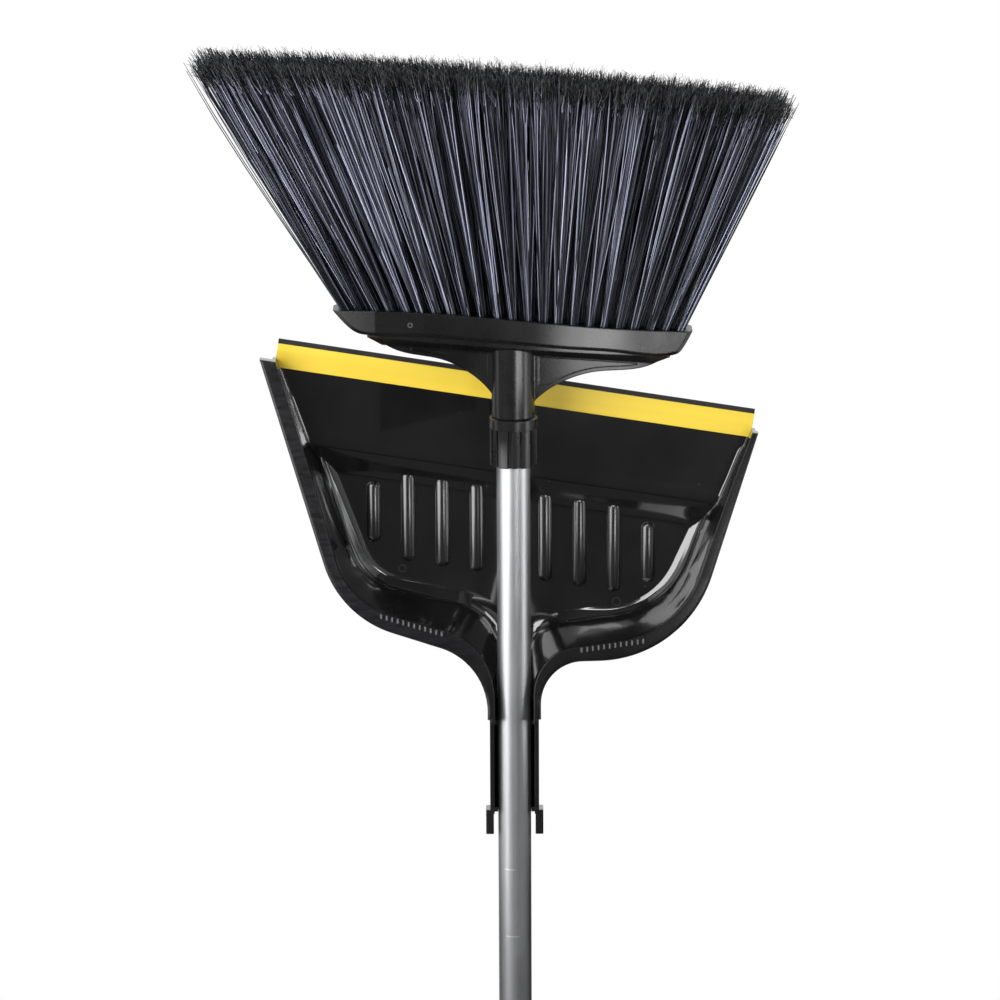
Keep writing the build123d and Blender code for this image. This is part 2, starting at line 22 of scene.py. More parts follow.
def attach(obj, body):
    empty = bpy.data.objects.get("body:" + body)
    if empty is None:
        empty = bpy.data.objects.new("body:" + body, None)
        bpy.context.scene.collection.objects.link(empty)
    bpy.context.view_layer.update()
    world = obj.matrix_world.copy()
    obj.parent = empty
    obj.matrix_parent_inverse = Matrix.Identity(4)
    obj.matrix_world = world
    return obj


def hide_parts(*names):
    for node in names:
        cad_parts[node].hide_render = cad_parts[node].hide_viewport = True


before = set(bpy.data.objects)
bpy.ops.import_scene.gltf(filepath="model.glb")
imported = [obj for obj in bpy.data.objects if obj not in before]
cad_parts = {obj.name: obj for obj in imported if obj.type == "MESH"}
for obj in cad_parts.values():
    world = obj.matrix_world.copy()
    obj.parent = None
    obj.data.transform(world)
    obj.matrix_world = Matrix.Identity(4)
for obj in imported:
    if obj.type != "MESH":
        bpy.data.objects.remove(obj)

LOG = logging.getLogger("angle_broom")
MM = 0.001
SEAT_Z = 0.5763
LIP_SLOPE = math.radians(8.9)
RIM_ORIGIN = (3.0, 20.0, 21.0)
RIM_NORMAL = (0.0231, -0.9888, 0.1477)
FLOOR_DEPTH = 41.0
BEVEL_SAMPLES = 6
CARD_GLOW = 0.004

Pair = tuple[float, float]
Triple = tuple[float, float, float]
Colour = tuple[float, float, float, float]


class Body(Enum):
    """The rigid bodies that get new pieces."""

    HEAD = "head"
    DUSTPAN = "dustpan"


class Slot(Enum):
    """The material slots of the new pieces."""

    BRISTLE = "bristle"
    PAN_PLASTIC = "pan_plastic"


class Draw(IntEnum):
    """What each strand draws at random, with the shift that parts its seed from the others'."""

    TURN = 11
    REACH = 23
    STRAY_X = 31
    STRAY_Y = 37
    BOW_X = 41
    BOW_Y = 43
    TRIM = 47
    TONE = 53
    CURL_X = 59
    CURL_Y = 61


def rgb(red: float, green: float, blue: float) -> Colour:
    """An opaque colour in linear light."""
    return (red, green, blue, 1.0)


def in_frame(point: Sequence[float]) -> Triple:
    """A point that is given in millimetres over the seat, in the frame's metres."""
    x, y, z = point
    return (x * MM, y * MM, z * MM + SEAT_Z)


class NodeCanvas:
    """A node tree with short ways to place, set and link nodes."""

    def __init__(self, tree: NodeTree) -> None:
        """Keep the tree that the nodes go into."""
        self.tree = tree

    def link(self, source: NodeSocket, target: NodeSocket) -> None:
        """Join two sockets."""
        self.tree.links.new(source, target)

    def feed(self, socket: NodeSocket, value: object) -> None:
        """Link another node's output to a socket, or set a constant on it.

        Args:
            socket: The socket.
            value: The output or the constant.
        """
        if isinstance(value, NodeSocket):
            self.link(value, socket)
        else:
            socket.default_value = value

    def add(self, kind: str, inputs: Optional[dict] = None, **settings: object) -> Node:
        """Place a node.

        Args:
            kind: Blender's type name of the node.
            inputs: Socket name or number to a constant or to another node's output.
            **settings: Properties of the node itself.

        Returns:
            The new node.
        """
        node = self.tree.nodes.new(kind)
        for name, value in settings.items():
            setattr(node, name, value)
        for name, value in (inputs or {}).items():
            self.feed(node.inputs[name], value)
        return node

    def geometry(self, kind: str, inputs: Optional[dict] = None, **settings: object) -> NodeSocket:
        """Place a geometry node and give its first output."""
        return self.add("GeometryNode" + kind, inputs, **settings).outputs[0]

    def math(self, operation: str, first: object, second: object = 0.0, clamp: bool = False) -> NodeSocket:
        """Combine two numbers and give the result's socket."""
        inputs = {0: first, 1: second}
        return self.add("ShaderNodeMath", inputs, operation=operation, use_clamp=clamp).outputs[0]

    def times(self, first: object, second: object) -> NodeSocket:
        """Multiply two numbers and give the result's socket."""
        return self.math("MULTIPLY", first, second)

    def vector(self, operation: str, first: object, second: object = (0.0, 0.0, 0.0)) -> NodeSocket:
        """Combine two vectors, or scale or measure one.

        Args:
            operation: Blender's name of the operation.
            first: The first vector.
            second: The second vector, or the number that scales the first.

        Returns:
            The result's socket.
        """
        slot = 3 if operation == "SCALE" else 1
        node = self.add("ShaderNodeVectorMath", {0: first, slot: second}, operation=operation)
        return node.outputs["Value" if operation in ("LENGTH", "DOT_PRODUCT") else "Vector"]

    def combine(self, x: object = 0.0, y: object = 0.0, z: object = 0.0) -> NodeSocket:
        """Make a vector of three numbers and give its socket."""
        return self.add("ShaderNodeCombineXYZ", {0: x, 1: y, 2: z}).outputs[0]

    def axes(self, vector: NodeSocket) -> tuple[NodeSocket, ...]:
        """Part a vector into the sockets of its three numbers."""
        return tuple(self.add("ShaderNodeSeparateXYZ", {0: vector}).outputs)

    def span(
        self, value: NodeSocket, low: object, high: object, to_low: object = 0.0, to_high: object = 1.0
    ) -> NodeSocket:
        """Stretch a number from one span to another, clamped, and give the result's socket."""
        inputs = {"Value": value, "From Min": low, "From Max": high, "To Min": to_low, "To Max": to_high}
        return self.add("ShaderNodeMapRange", inputs, clamp=True).outputs["Result"]

    def noise(self, place: NodeSocket, scale: object, detail: float, roughness: float = 0.5) -> Node:
        """Place a noise texture on a vector."""
        inputs = {"Vector": place, "Scale": scale, "Detail": detail, "Roughness": roughness}
        return self.add("ShaderNodeTexNoise", inputs)


def shader_group(name: str, result: str, **inputs: object) -> tuple:
    """Start a shader node group that turns a vector into a number.

    Args:
        name: The group's name.
        result: Name of its output.
        **inputs: Its other inputs and their defaults, with tuples for vectors.

    Returns:
        The group's tree, a canvas on it, the sockets of its inputs, and its output's socket.
    """
    tree = bpy.data.node_groups.new(name, "ShaderNodeTree")
    for label, value in {"Vector": (0.0, 0.0, 0.0), **inputs}.items():
        kind = "NodeSocketVector" if isinstance(value, tuple) else "NodeSocketFloat"
        tree.interface.new_socket(name=label, in_out="INPUT", socket_type=kind).default_value = value
    tree.interface.new_socket(name=result, in_out="OUTPUT", socket_type="NodeSocketFloat")
    canvas = NodeCanvas(tree)
    return tree, canvas, canvas.add("NodeGroupInput").outputs, canvas.add("NodeGroupOutput").inputs[result]


class SharedEffects:
    """Shader groups that several finishes use."""

    def __init__(self) -> None:
        """Build each group once."""
        self.grain = self._grain()
        self.specks = self._specks()
        self.drift = self._drift()
        self.ring = self._ring()

    @staticmethod
    def _grain() -> NodeTree:
        """Fine moulded grain as a height.

        Returns:
            The group.
        """
        tree, canvas, source, target = shader_group("moulded_grain", "Height", Scale=2500.0)
        fine = canvas.noise(source["Vector"], source["Scale"], 2.0)
        broad = canvas.noise(source["Vector"], canvas.times(source["Scale"], 0.21), 3.0)
        height = canvas.math("ADD", fine.outputs["Fac"], canvas.times(broad.outputs["Fac"], 0.6))
        canvas.link(height, target)
        return tree

    @staticmethod
    def _specks() -> NodeTree:
        """Sparse dust specks as a mask.

        Returns:
            The group.
        """
        tree, canvas, source, target = shader_group("dust_specks", "Mask", Scale=220.0, Size=0.05, Share=0.15)
        cells = canvas.add("ShaderNodeTexVoronoi", {"Vector": source["Vector"], "Scale": source["Scale"]})
        near = canvas.math("LESS_THAN", cells.outputs["Distance"], source["Size"])
        pick = canvas.add("ShaderNodeSeparateColor", {0: cells.outputs["Color"]})
        chosen = canvas.math("LESS_THAN", pick.outputs[0], source["Share"])
        canvas.link(canvas.times(near, chosen), target)
        return tree

    @staticmethod
    def _drift() -> NodeTree:
        """Slow unevenness of a surface, from 0 to 1.

        Returns:
            The group.
        """
        tree, canvas, source, target = shader_group("slow_drift", "Value", Scale=20.0)
        cloud = canvas.noise(source["Vector"], source["Scale"], 4.0, 0.6)
        canvas.link(canvas.span(cloud.outputs["Fac"], 0.3, 0.7), target)
        return tree

    @staticmethod
    def _ring() -> NodeTree:
        """A thin ring in the front plane, as an ejector pin leaves it in a moulding.

        Returns:
            The group.
        """
        tree, canvas, source, target = shader_group(
            "ejector_ring", "Mask", Centre=(0.0, 0.0, 0.0), Radius=0.002, Width=0.0005, Depth=0.006
        )
        x, y, z = canvas.axes(canvas.vector("SUBTRACT", source["Vector"], source["Centre"]))
        reach = canvas.vector("LENGTH", canvas.combine(x=x, z=z))
        off = canvas.math("ABSOLUTE", canvas.math("SUBTRACT", reach, source["Radius"]))
        line = canvas.math("SUBTRACT", 1.0, canvas.math("DIVIDE", off, source["Width"]), clamp=True)
        near = canvas.math("LESS_THAN", canvas.math("ABSOLUTE", y), source["Depth"])
        canvas.link(canvas.times(line, near), target)
        return tree


def node_material(name: str) -> tuple[Material, NodeCanvas, Node]:
    """Start a node material.

    Args:
        name: Its name.

    Returns:
        The material, a canvas on its nodes, and its Principled shader.
    """
    data = bpy.data.materials.new(name)
    data.use_nodes = True
    bsdf = next(n for n in data.node_tree.nodes if n.type == "BSDF_PRINCIPLED")
    return data, NodeCanvas(data.node_tree), bsdf


class Surface:
    """A material under construction, with its Principled shader and object coordinates at hand."""

    def __init__(self, name: str, effects: SharedEffects) -> None:
        """Start the material and keep the shared shader groups."""
        self.data, self.canvas, self.bsdf = node_material(name)
        self.place = self.canvas.add("ShaderNodeTexCoord").outputs["Object"]
        self.effects = effects

    def group(self, tree: NodeTree, **inputs: object) -> NodeSocket:
        """Place one of the shared groups on the object coordinates and give its output."""
        return self.canvas.add("ShaderNodeGroup", {"Vector": self.place, **inputs}, node_tree=tree).outputs[0]

    def drift(self, scale: float) -> NodeSocket:
        """Place the slow unevenness and give its output."""
        return self.group(self.effects.drift, Scale=scale)

    def grain(self, scale: float) -> NodeSocket:
        """Place the moulded grain and give its height."""
        return self.group(self.effects.grain, Scale=scale)

    def specks(self, scale: float, size: float, share: float) -> NodeSocket:
        """Place the dust specks and give their mask."""
        return self.group(self.effects.specks, Scale=scale, Size=size, Share=share)

    def mapped(self, **inputs: object) -> NodeSocket:
        """Scale or turn the object coordinates and give the result's socket."""
        return self.canvas.add("ShaderNodeMapping", {"Vector": self.place, **inputs}).outputs["Vector"]

    def mix(self, factor: object, first: object, second: object) -> NodeSocket:
        """Mix two colours and give the result's socket."""
        return self.canvas.add("ShaderNodeMix", {0: factor, 6: first, 7: second}, data_type="RGBA").outputs[2]

    def shade(self, **sockets: object) -> None:
        """Set or drive the shader's own sockets, with underscores for spaces."""
        for name, value in sockets.items():
            self.canvas.feed(self.bsdf.inputs[name.replace("_", " ")], value)

    def bump(self, height: NodeSocket, strength: float, depth: float, edge: float = 0.0) -> None:
        """Drive the shader's normal from a height.

        Args:
            height: The height's socket.
            strength: Share of the bump.
            depth: Depth of the bump in metres.
            edge: Radius by which sharp edges look rounded, in metres.
        """
        node = self.canvas.add("ShaderNodeBump", {"Height": height, "Strength": strength, "Distance": depth})
        if edge:
            soft = self.canvas.add("ShaderNodeBevel", {"Radius": edge}, samples=BEVEL_SAMPLES)
            self.canvas.link(soft.outputs["Normal"], node.inputs["Normal"])
        self.shade(Normal=node.outputs["Normal"])


@dataclass(frozen=True)
class RingMarks:
    """Ejector pin rings in a moulding."""

    places: tuple[tuple[Triple, float], ...] = ()
    share: float = 0.6
    colour: Colour = rgb(0.2, 0.2, 0.21)
    press: float = 3.0
    depth: float = 0.006

    def lay(self, surface: Surface, tone: NodeSocket, height: NodeSocket) -> tuple[NodeSocket, NodeSocket]:
        """Press the rings into a finish.

        Args:
            surface: The material.
            tone: Its colour so far.
            height: Its height so far.

        Returns:
            Colour and height with the rings.
        """
        canvas = surface.canvas
        for centre, radius in self.places:
            ring = surface.group(surface.effects.ring, Centre=centre, Radius=radius, Depth=self.depth)
            tone = surface.mix(canvas.times(ring, self.share), tone, self.colour)
            height = canvas.math("SUBTRACT", height, canvas.times(ring, self.press))
        return tone, height


@dataclass(frozen=True)
class Finish:
    """What all finishes have in common."""

    name: str

    def make(self, effects: SharedEffects) -> Material:
        """Build the material.

        Args:
            effects: The shared shader groups.

        Returns:
            The finished material.
        """
        surface = Surface(self.name, effects)
        self.paint(surface)
        return surface.data

    def paint(self, surface: Surface) -> None:
        """Lay the finish on a material under construction."""
        raise NotImplementedError


@dataclass(frozen=True)
class MouldedPlastic(Finish):
    """Black moulded plastic with a fine grain, a few dust specks and a slow drift of its gloss."""

    colour: Colour = rgb(0.0036, 0.0036, 0.004)
    worn: Colour = rgb(0.008, 0.008, 0.009)
    dust: Colour = rgb(0.16, 0.16, 0.17)
    roughness: Pair = (0.24, 0.31)
    grain_scale: float = 1800.0
    grain_depth: float = 0.00008
    grain_strength: float = 0.18
    drift_scale: float = 38.0
    speck_scale: float = 260.0
    speck_size: float = 0.06
    speck_share: float = 0.08
    worn_share: float = 0.35
    dust_share: float = 0.5
    edge: float = 0.0012
    rings: RingMarks = RingMarks()

    def paint(self, surface: Surface) -> None:
        """Lay drift, specks, rings and grain.

        Args:
            surface: The material.
        """
        canvas = surface.canvas
        drift = surface.drift(self.drift_scale)
        specks = surface.specks(self.speck_scale, self.speck_size, self.speck_share)
        tone = surface.mix(canvas.span(drift, 0.0, 1.0, 0.0, self.worn_share), self.colour, self.worn)
        tone = surface.mix(canvas.times(specks, self.dust_share), tone, self.dust)
        tone, grain = self.rings.lay(surface, tone, surface.grain(self.grain_scale))
        surface.shade(Base_Color=tone, Roughness=canvas.span(drift, 0.0, 1.0, *self.roughness))
        surface.bump(grain, self.grain_strength, self.grain_depth, self.edge)


@dataclass(frozen=True)
class SatinTube(Finish):
    """Silver lacquer on a drawn tube: faint lengthwise drawing marks and two short pale scuffs."""

    name: str = "satin_silver"
    colour: Colour = rgb(0.60, 0.605, 0.62)
    shadow: Colour = rgb(0.54, 0.545, 0.56)
    scuff: Colour = rgb(0.9, 0.9, 0.9)
    roughness: Pair = (0.38, 0.44)
    scuffs: tuple[Triple, ...] = ((0.2657, -0.0069, -0.0002), (0.2182, -0.0061, 0.0028))
    scuff_height: float = 0.0007
    mark_scale: Triple = (900.0, 900.0, 6.0)
    mark_span: Pair = (0.35, 0.65)
    mark_strength: float = 0.05
    mark_depth: float = 0.0001
    drift_scale: float = 30.0

    def paint(self, surface: Surface) -> None:
        """Lay the drawing marks and the scuffs.

        Args:
            surface: The material.
        """
        canvas = surface.canvas
        marks = canvas.noise(surface.mapped(Scale=self.mark_scale), 1.0, 3.0).outputs["Fac"]
        tone = surface.mix(canvas.span(marks, *self.mark_span), self.colour, self.shadow)
        x, y, z = canvas.axes(surface.place)
        front = canvas.math("LESS_THAN", y, 0.0)
        for height, left, right in self.scuffs:
            rise = canvas.math("ABSOLUTE", canvas.math("SUBTRACT", z, height))
            thin = canvas.span(rise, 0.0, self.scuff_height, 1.0, 0.0)
            across = canvas.times(canvas.math("GREATER_THAN", x, left), canvas.math("LESS_THAN", x, right))
            tone = surface.mix(canvas.times(canvas.times(thin, across), front), tone, self.scuff)
        rough = canvas.span(surface.drift(self.drift_scale), 0.0, 1.0, *self.roughness)
        surface.shade(Base_Color=tone, Roughness=rough, Metallic=1.0)
        surface.bump(marks, self.mark_strength, self.mark_depth)


@dataclass(frozen=True)
class TrayGloss(Finish):
    """The pan's plastic: glossy inside, satin on the rolled rim, with dust and fine rubs."""

    name: str = "tray_gloss"
    colour: Colour = rgb(0.003, 0.003, 0.0034)
    rub: Colour = rgb(0.0075, 0.0075, 0.0085)
    rim_grey: Colour = rgb(0.02, 0.02, 0.022)
    dust: Colour = rgb(0.3, 0.3, 0.31)
    painted_tick_highlight: Colour = rgb(0.18, 0.18, 0.19)
    inside_roughness: float = 0.22
    outside_roughness: float = 0.26
    coat: float = 1.0
    coat_roughness: float = 0.07
    coat_ior: float = 1.8
    specular: float = 0.35
    drift_scale: float = 26.0
    gloss_drift: Pair = (-0.03, 0.04)
    rub_share: float = 0.5
    rim_span: Pair = (-0.0035, -0.001)
    streak_scale: Triple = (90.0, 90.0, 420.0)
    streak_span: Pair = (0.35, 0.7)
    streak_share: Pair = (0.25, 1.0)
    rim_grey_span: Pair = (-0.13, 0.02)
    rim_grey_share: Pair = (1.0, 0.08)
    speck_scale: float = 170.0
    speck_size: float = 0.05
    speck_share: float = 0.10
    dust_share: float = 0.6
    painted_tick_span: Pair = (0.0008, 0.0013)
    painted_tick_share: float = 0.7
    peel_scale: float = 300.0
    peel_strength: float = 0.06
    peel_depth: float = 0.0002
    edge: float = 0.0012
    rings: RingMarks = RingMarks(
        (((0.0694, 0.041, 0.4383), 0.0027), ((-0.0748, 0.041, 0.4622), 0.0024)),
        share=0.35, colour=rgb(0.1, 0.1, 0.105), press=2.0, depth=0.002,
    )

    def paint(self, surface: Surface) -> None:
        """Lay gloss, dust, a painted highlight on the comb's ticks and the rings, by the height over the
        rim's plane.

        Args:
            surface: The material.
        """
        canvas = surface.canvas
        away = canvas.vector("SUBTRACT", surface.place, in_frame(RIM_ORIGIN))
        height = canvas.vector("DOT_PRODUCT", away, RIM_NORMAL)
        rim = canvas.span(height, *self.rim_span)
        drift = surface.drift(self.drift_scale)
        gloss = canvas.span(drift, 0.0, 1.0, *(self.inside_roughness + off for off in self.gloss_drift))
        satin = canvas.times(rim, self.outside_roughness - self.inside_roughness)
        tone = surface.mix(canvas.span(drift, 0.0, 1.0, 0.0, self.rub_share), self.colour, self.rub)
        # A streaky paler grey on the rim, strongest on the left side and fading towards the right.
        streaks = canvas.noise(surface.mapped(Scale=self.streak_scale), 1.0, 5.0).outputs["Fac"]
        rubbed = canvas.span(streaks, *self.streak_span, *self.streak_share)
        left = canvas.span(canvas.axes(surface.place)[0], *self.rim_grey_span, *self.rim_grey_share)
        tone = surface.mix(canvas.times(canvas.times(rim, left), rubbed), tone, self.rim_grey)
        specks = surface.specks(self.speck_scale, self.speck_size, self.speck_share)
        tone = surface.mix(canvas.times(specks, self.dust_share), tone, self.dust)
        # Painted highlight: the comb's tooth tops, which rise over the rim's plane, are painted pale.
        tone = surface.mix(canvas.span(height, *self.painted_tick_span, 0.0, self.painted_tick_share), tone, self.painted_tick_highlight)
        tone, peel = self.rings.lay(surface, tone, surface.grain(self.peel_scale))
        surface.shade(
            Base_Color=tone,
            Roughness=canvas.math("ADD", gloss, satin),
            Specular_IOR_Level=self.specular,
            Coat_Weight=canvas.span(rim, 0.0, 1.0, self.coat, 0.0),
            Coat_Roughness=self.coat_roughness,
            Coat_IOR=self.coat_ior,
        )
        surface.bump(peel, self.peel_strength, self.peel_depth, self.edge)


@dataclass(frozen=True)
class LipFilm(Finish):
    """Satin yellow strip with faint bands along its length."""

    name: str = "lip_yellow"
    colour: Colour = rgb(0.86, 0.64, 0.055)
    band: Colour = rgb(0.80, 0.565, 0.038)
    roughness: Pair = (0.38, 0.5)
    band_scale: Triple = (1.2, 0.0, 150.0)
    band_span: Pair = (0.3, 0.7)
    band_strength: float = 0.1
    band_depth: float = 0.0003
    drift_scale: float = 45.0
    edge: float = 0.0004

    def paint(self, surface: Surface) -> None:
        """Lay the bands along the lip's slope.

        Args:
            surface: The material.
        """
        canvas = surface.canvas
        level = surface.mapped(Rotation=(0.0, -LIP_SLOPE, 0.0))
        bands = canvas.noise(canvas.vector("MULTIPLY", level, self.band_scale), 1.0, 1.0).outputs["Fac"]
        tone = surface.mix(canvas.span(bands, *self.band_span), self.colour, self.band)
        rough = canvas.span(surface.drift(self.drift_scale), 0.0, 1.0, *self.roughness)
        surface.shade(Base_Color=tone, Roughness=rough)
        surface.bump(bands, self.band_strength, self.band_depth, self.edge)


@dataclass(frozen=True)
class Filament(Finish):
    """Blue-black filament: each strand has its own random tone, whose pale end is a painted sheen, and
    painted shade darkens it towards the roots and the flagged tips.
    """

    name: str = "filament"
    dark: Colour = rgb(0.007, 0.008, 0.011)
    # pale is a painted sheen: the colour of lit strands, laid on the palest tones.
    pale: Colour = rgb(0.66, 0.69, 0.9)
    # The flagged tips' colours: near black for painted shade, paler for a painted sheen on the palest
    # strands.
    painted_flag_shade: Colour = rgb(0.004, 0.0041, 0.0046)
    painted_flag_sheen: Colour = rgb(0.2, 0.203, 0.217)
    frayed: Colour = rgb(0.12, 0.123, 0.132)
    roughness: Pair = (0.32, 0.5)
    specular: float = 0.15
    painted_sheen_power: float = 4.6
    root_span: Pair = (0.0, 0.35)
    root_painted_shade: Pair = (0.6, 1.0)
    flag_power: float = 5.0
    flag_span: Pair = (0.89, 0.92)
    flag_stagger: float = 0.05
    frayed_span: Pair = (0.98, 1.0)

    def paint(self, surface: Surface) -> None:
        """Colour each strand by its tone and by the place along it, with painted sheen and painted shade.

        Args:
            surface: The material.
        """
        canvas = surface.canvas
        tone, along = (
            canvas.add("ShaderNodeAttribute", attribute_name=name).outputs["Fac"]
            for name in ("strand_tone_and_painted_shade", "strand_along")
        )
        # Painted shade: the pale share falls towards the roots, near the block.
        root = canvas.span(along, *self.root_span, *self.root_painted_shade)
        # Painted sheen: the palest strands take the pale colour.
        bright = canvas.times(canvas.math("POWER", tone, self.painted_sheen_power), root)
        colour = surface.mix(bright, self.dark, self.pale)
        level = canvas.math("SUBTRACT", along, canvas.times(tone, self.flag_stagger))
        # Painted shade in the flagged tips, with a painted sheen on the palest strands.
        painted_flag_shade = surface.mix(canvas.math("POWER", tone, self.flag_power), self.painted_flag_shade, self.painted_flag_sheen)
        colour = surface.mix(canvas.span(level, *self.flag_span), colour, painted_flag_shade)
        end = canvas.times(canvas.span(along, *self.frayed_span), tone)
        surface.shade(
            Base_Color=surface.mix(end, colour, self.frayed),
            Roughness=canvas.span(tone, 0.0, 1.0, *self.roughness),
            Specular_IOR_Level=self.specular,
        )


@dataclass(frozen=True)
class SoftRubber(Finish):
    """Matt black rubber of the lip's soft edge."""

    name: str = "soft_edge_rubber"
    colour: Colour = rgb(0.012, 0.012, 0.012)
    dusty: Colour = rgb(0.025, 0.025, 0.026)
    roughness: Pair = (0.6, 0.75)
    drift_scale: float = 60.0
    grain_scale: float = 1500.0
    grain_strength: float = 0.2
    grain_depth: float = 0.0001

    def paint(self, surface: Surface) -> None:
        """Lay a dusty drift and a fine grain.

        Args:
            surface: The material.
        """
        drift = surface.drift(self.drift_scale)
        rough = surface.canvas.span(drift, 0.0, 1.0, *self.roughness)
        surface.shade(Base_Color=surface.mix(drift, self.colour, self.dusty), Roughness=rough)
        surface.bump(surface.grain(self.grain_scale), self.grain_strength, self.grain_depth)


@dataclass(frozen=True)
class DrawnWire(Finish):
    """Bare drawn wire of the tuft staples."""

    name: str = "drawn_wire"
    colour: Colour = rgb(0.45, 0.45, 0.46)
    bright: Colour = rgb(0.6, 0.6, 0.6)
    roughness: Pair = (0.3, 0.45)
    drift_scale: float = 300.0

    def paint(self, surface: Surface) -> None:
        """Lay an uneven bare metal.

        Args:
            surface: The material.
        """
        drift = surface.drift(self.drift_scale)
        rough = surface.canvas.span(drift, 0.0, 1.0, *self.roughness)
        surface.shade(Base_Color=surface.mix(drift, self.colour, self.bright), Roughness=rough, Metallic=1.0)


class GeometryTree:
    """A geometry node tree with one geometry in, one out, and named inputs."""

    NAME: ClassVar[str]
    INPUTS: ClassVar[dict[str, float]] = {}

    def __init__(self) -> None:
        """Build the tree, with whole numbers as integer inputs."""
        self.tree = bpy.data.node_groups.new(self.NAME, "GeometryNodeTree")
        face = self.tree.interface
        face.new_socket(name="Geometry", in_out="INPUT", socket_type="NodeSocketGeometry")
        self.keys = {}
        for label, value in self.INPUTS.items():
            kind = "NodeSocketInt" if isinstance(value, int) else "NodeSocketFloat"
            socket = face.new_socket(name=label, in_out="INPUT", socket_type=kind)
            socket.default_value = value
            self.keys[label] = socket.identifier
        face.new_socket(name="Geometry", in_out="OUTPUT", socket_type="NodeSocketGeometry")
        self.canvas = NodeCanvas(self.tree)
        self.inputs = self.canvas.add("NodeGroupInput").outputs
        target = self.canvas.add("NodeGroupOutput")
        self.canvas.link(self.shape(), target.inputs[0])

    def shape(self) -> NodeSocket:
        """Place the nodes and give the geometry's socket."""
        raise NotImplementedError


class SoftShading(GeometryTree):
    """Joins a CAD mesh's loose triangles, and smooths every edge under an angle."""

    NAME = "soft_shading"
    ANGLE = math.radians(32.0)
    WELD = 0.000002

    def shape(self) -> NodeSocket:
        """Place the nodes.

        Returns:
            The geometry's socket.
        """
        canvas = self.canvas
        merged = canvas.geometry("MergeByDistance", {"Geometry": self.inputs[0], "Distance": self.WELD})
        soft = canvas.math("LESS_THAN", canvas.geometry("InputMeshEdgeAngle"), self.ANGLE)
        edges = canvas.geometry("SetShadeSmooth", {"Geometry": merged, "Shade Smooth": soft}, domain="EDGE")
        return canvas.geometry("SetShadeSmooth", {"Geometry": edges}, domain="FACE")


class PointTree(GeometryTree):
    """A tree that makes a dressed mesh out of points, each with an attribute of its own."""

    ATTRIBUTE: ClassVar[str]
    ATTRIBUTE_KIND: ClassVar[str]

    def __init__(self, material: Material) -> None:
        """Build the tree with the finish that its mesh gets."""
        self.material = material
        super().__init__()

    def shape(self) -> NodeSocket:
        """Place the nodes.

        Returns:
            The geometry's socket.
        """
        smooth = self.canvas.geometry("SetShadeSmooth", {"Geometry": self.form()})
        whole = self.canvas.geometry("RealizeInstances", {"Geometry": smooth})
        return self.canvas.geometry("SetMaterial", {"Geometry": whole, "Material": self.material})

    def form(self) -> NodeSocket:
        """Place the nodes of the bare form and give its socket."""
        raise NotImplementedError

    def _store(self, geometry: NodeSocket, name: str, kind: str, value: NodeSocket) -> NodeSocket:
        """Store an attribute on the points and give the geometry's socket."""
        inputs = {"Geometry": geometry, "Name": name, "Value": value}
        return self.canvas.geometry("StoreNamedAttribute", inputs, data_type=kind, domain="POINT")

    def _named(self, name: str, kind: str) -> NodeSocket:
        """Read a stored attribute."""
        return self.canvas.geometry("InputNamedAttribute", {"Name": name}, data_type=kind)

    def grow(self, name: str, points: Iterable[Sequence[float]], own: Sequence, values: dict) -> Mesh:
        """Run the tree on points and give the result as a plain mesh.

        Args:
            name: The mesh's name.
            points: The points.
            own: Each point's value of the tree's attribute.
            values: The tree's inputs by name.

        Returns:
            The mesh.
        """
        seedbed = bpy.data.meshes.new(name + "_points")
        seedbed.from_pydata([tuple(p) for p in points], [], [])
        attribute = seedbed.attributes.new(self.ATTRIBUTE, self.ATTRIBUTE_KIND, "POINT")
        field = "vector" if self.ATTRIBUTE_KIND == "FLOAT_VECTOR" else "value"
        attribute.data.foreach_set(field, np.asarray(own, dtype=np.float32).ravel())
        holder = bpy.data.objects.new(name + "_holder", seedbed)
        bpy.context.scene.collection.objects.link(holder)
        modifier = holder.modifiers.new(self.NAME, "NODES")
        modifier.node_group = self.tree
        for label, value in values.items():
            modifier[self.keys[label]] = value
        bpy.context.view_layer.update()
        graph = bpy.context.evaluated_depsgraph_get()
        mesh = bpy.data.meshes.new_from_object(
            holder.evaluated_get(graph), preserve_all_data_layers=True, depsgraph=graph
        )
        mesh.name = name
        bpy.data.objects.remove(holder)
        bpy.data.meshes.remove(seedbed)
        return mesh


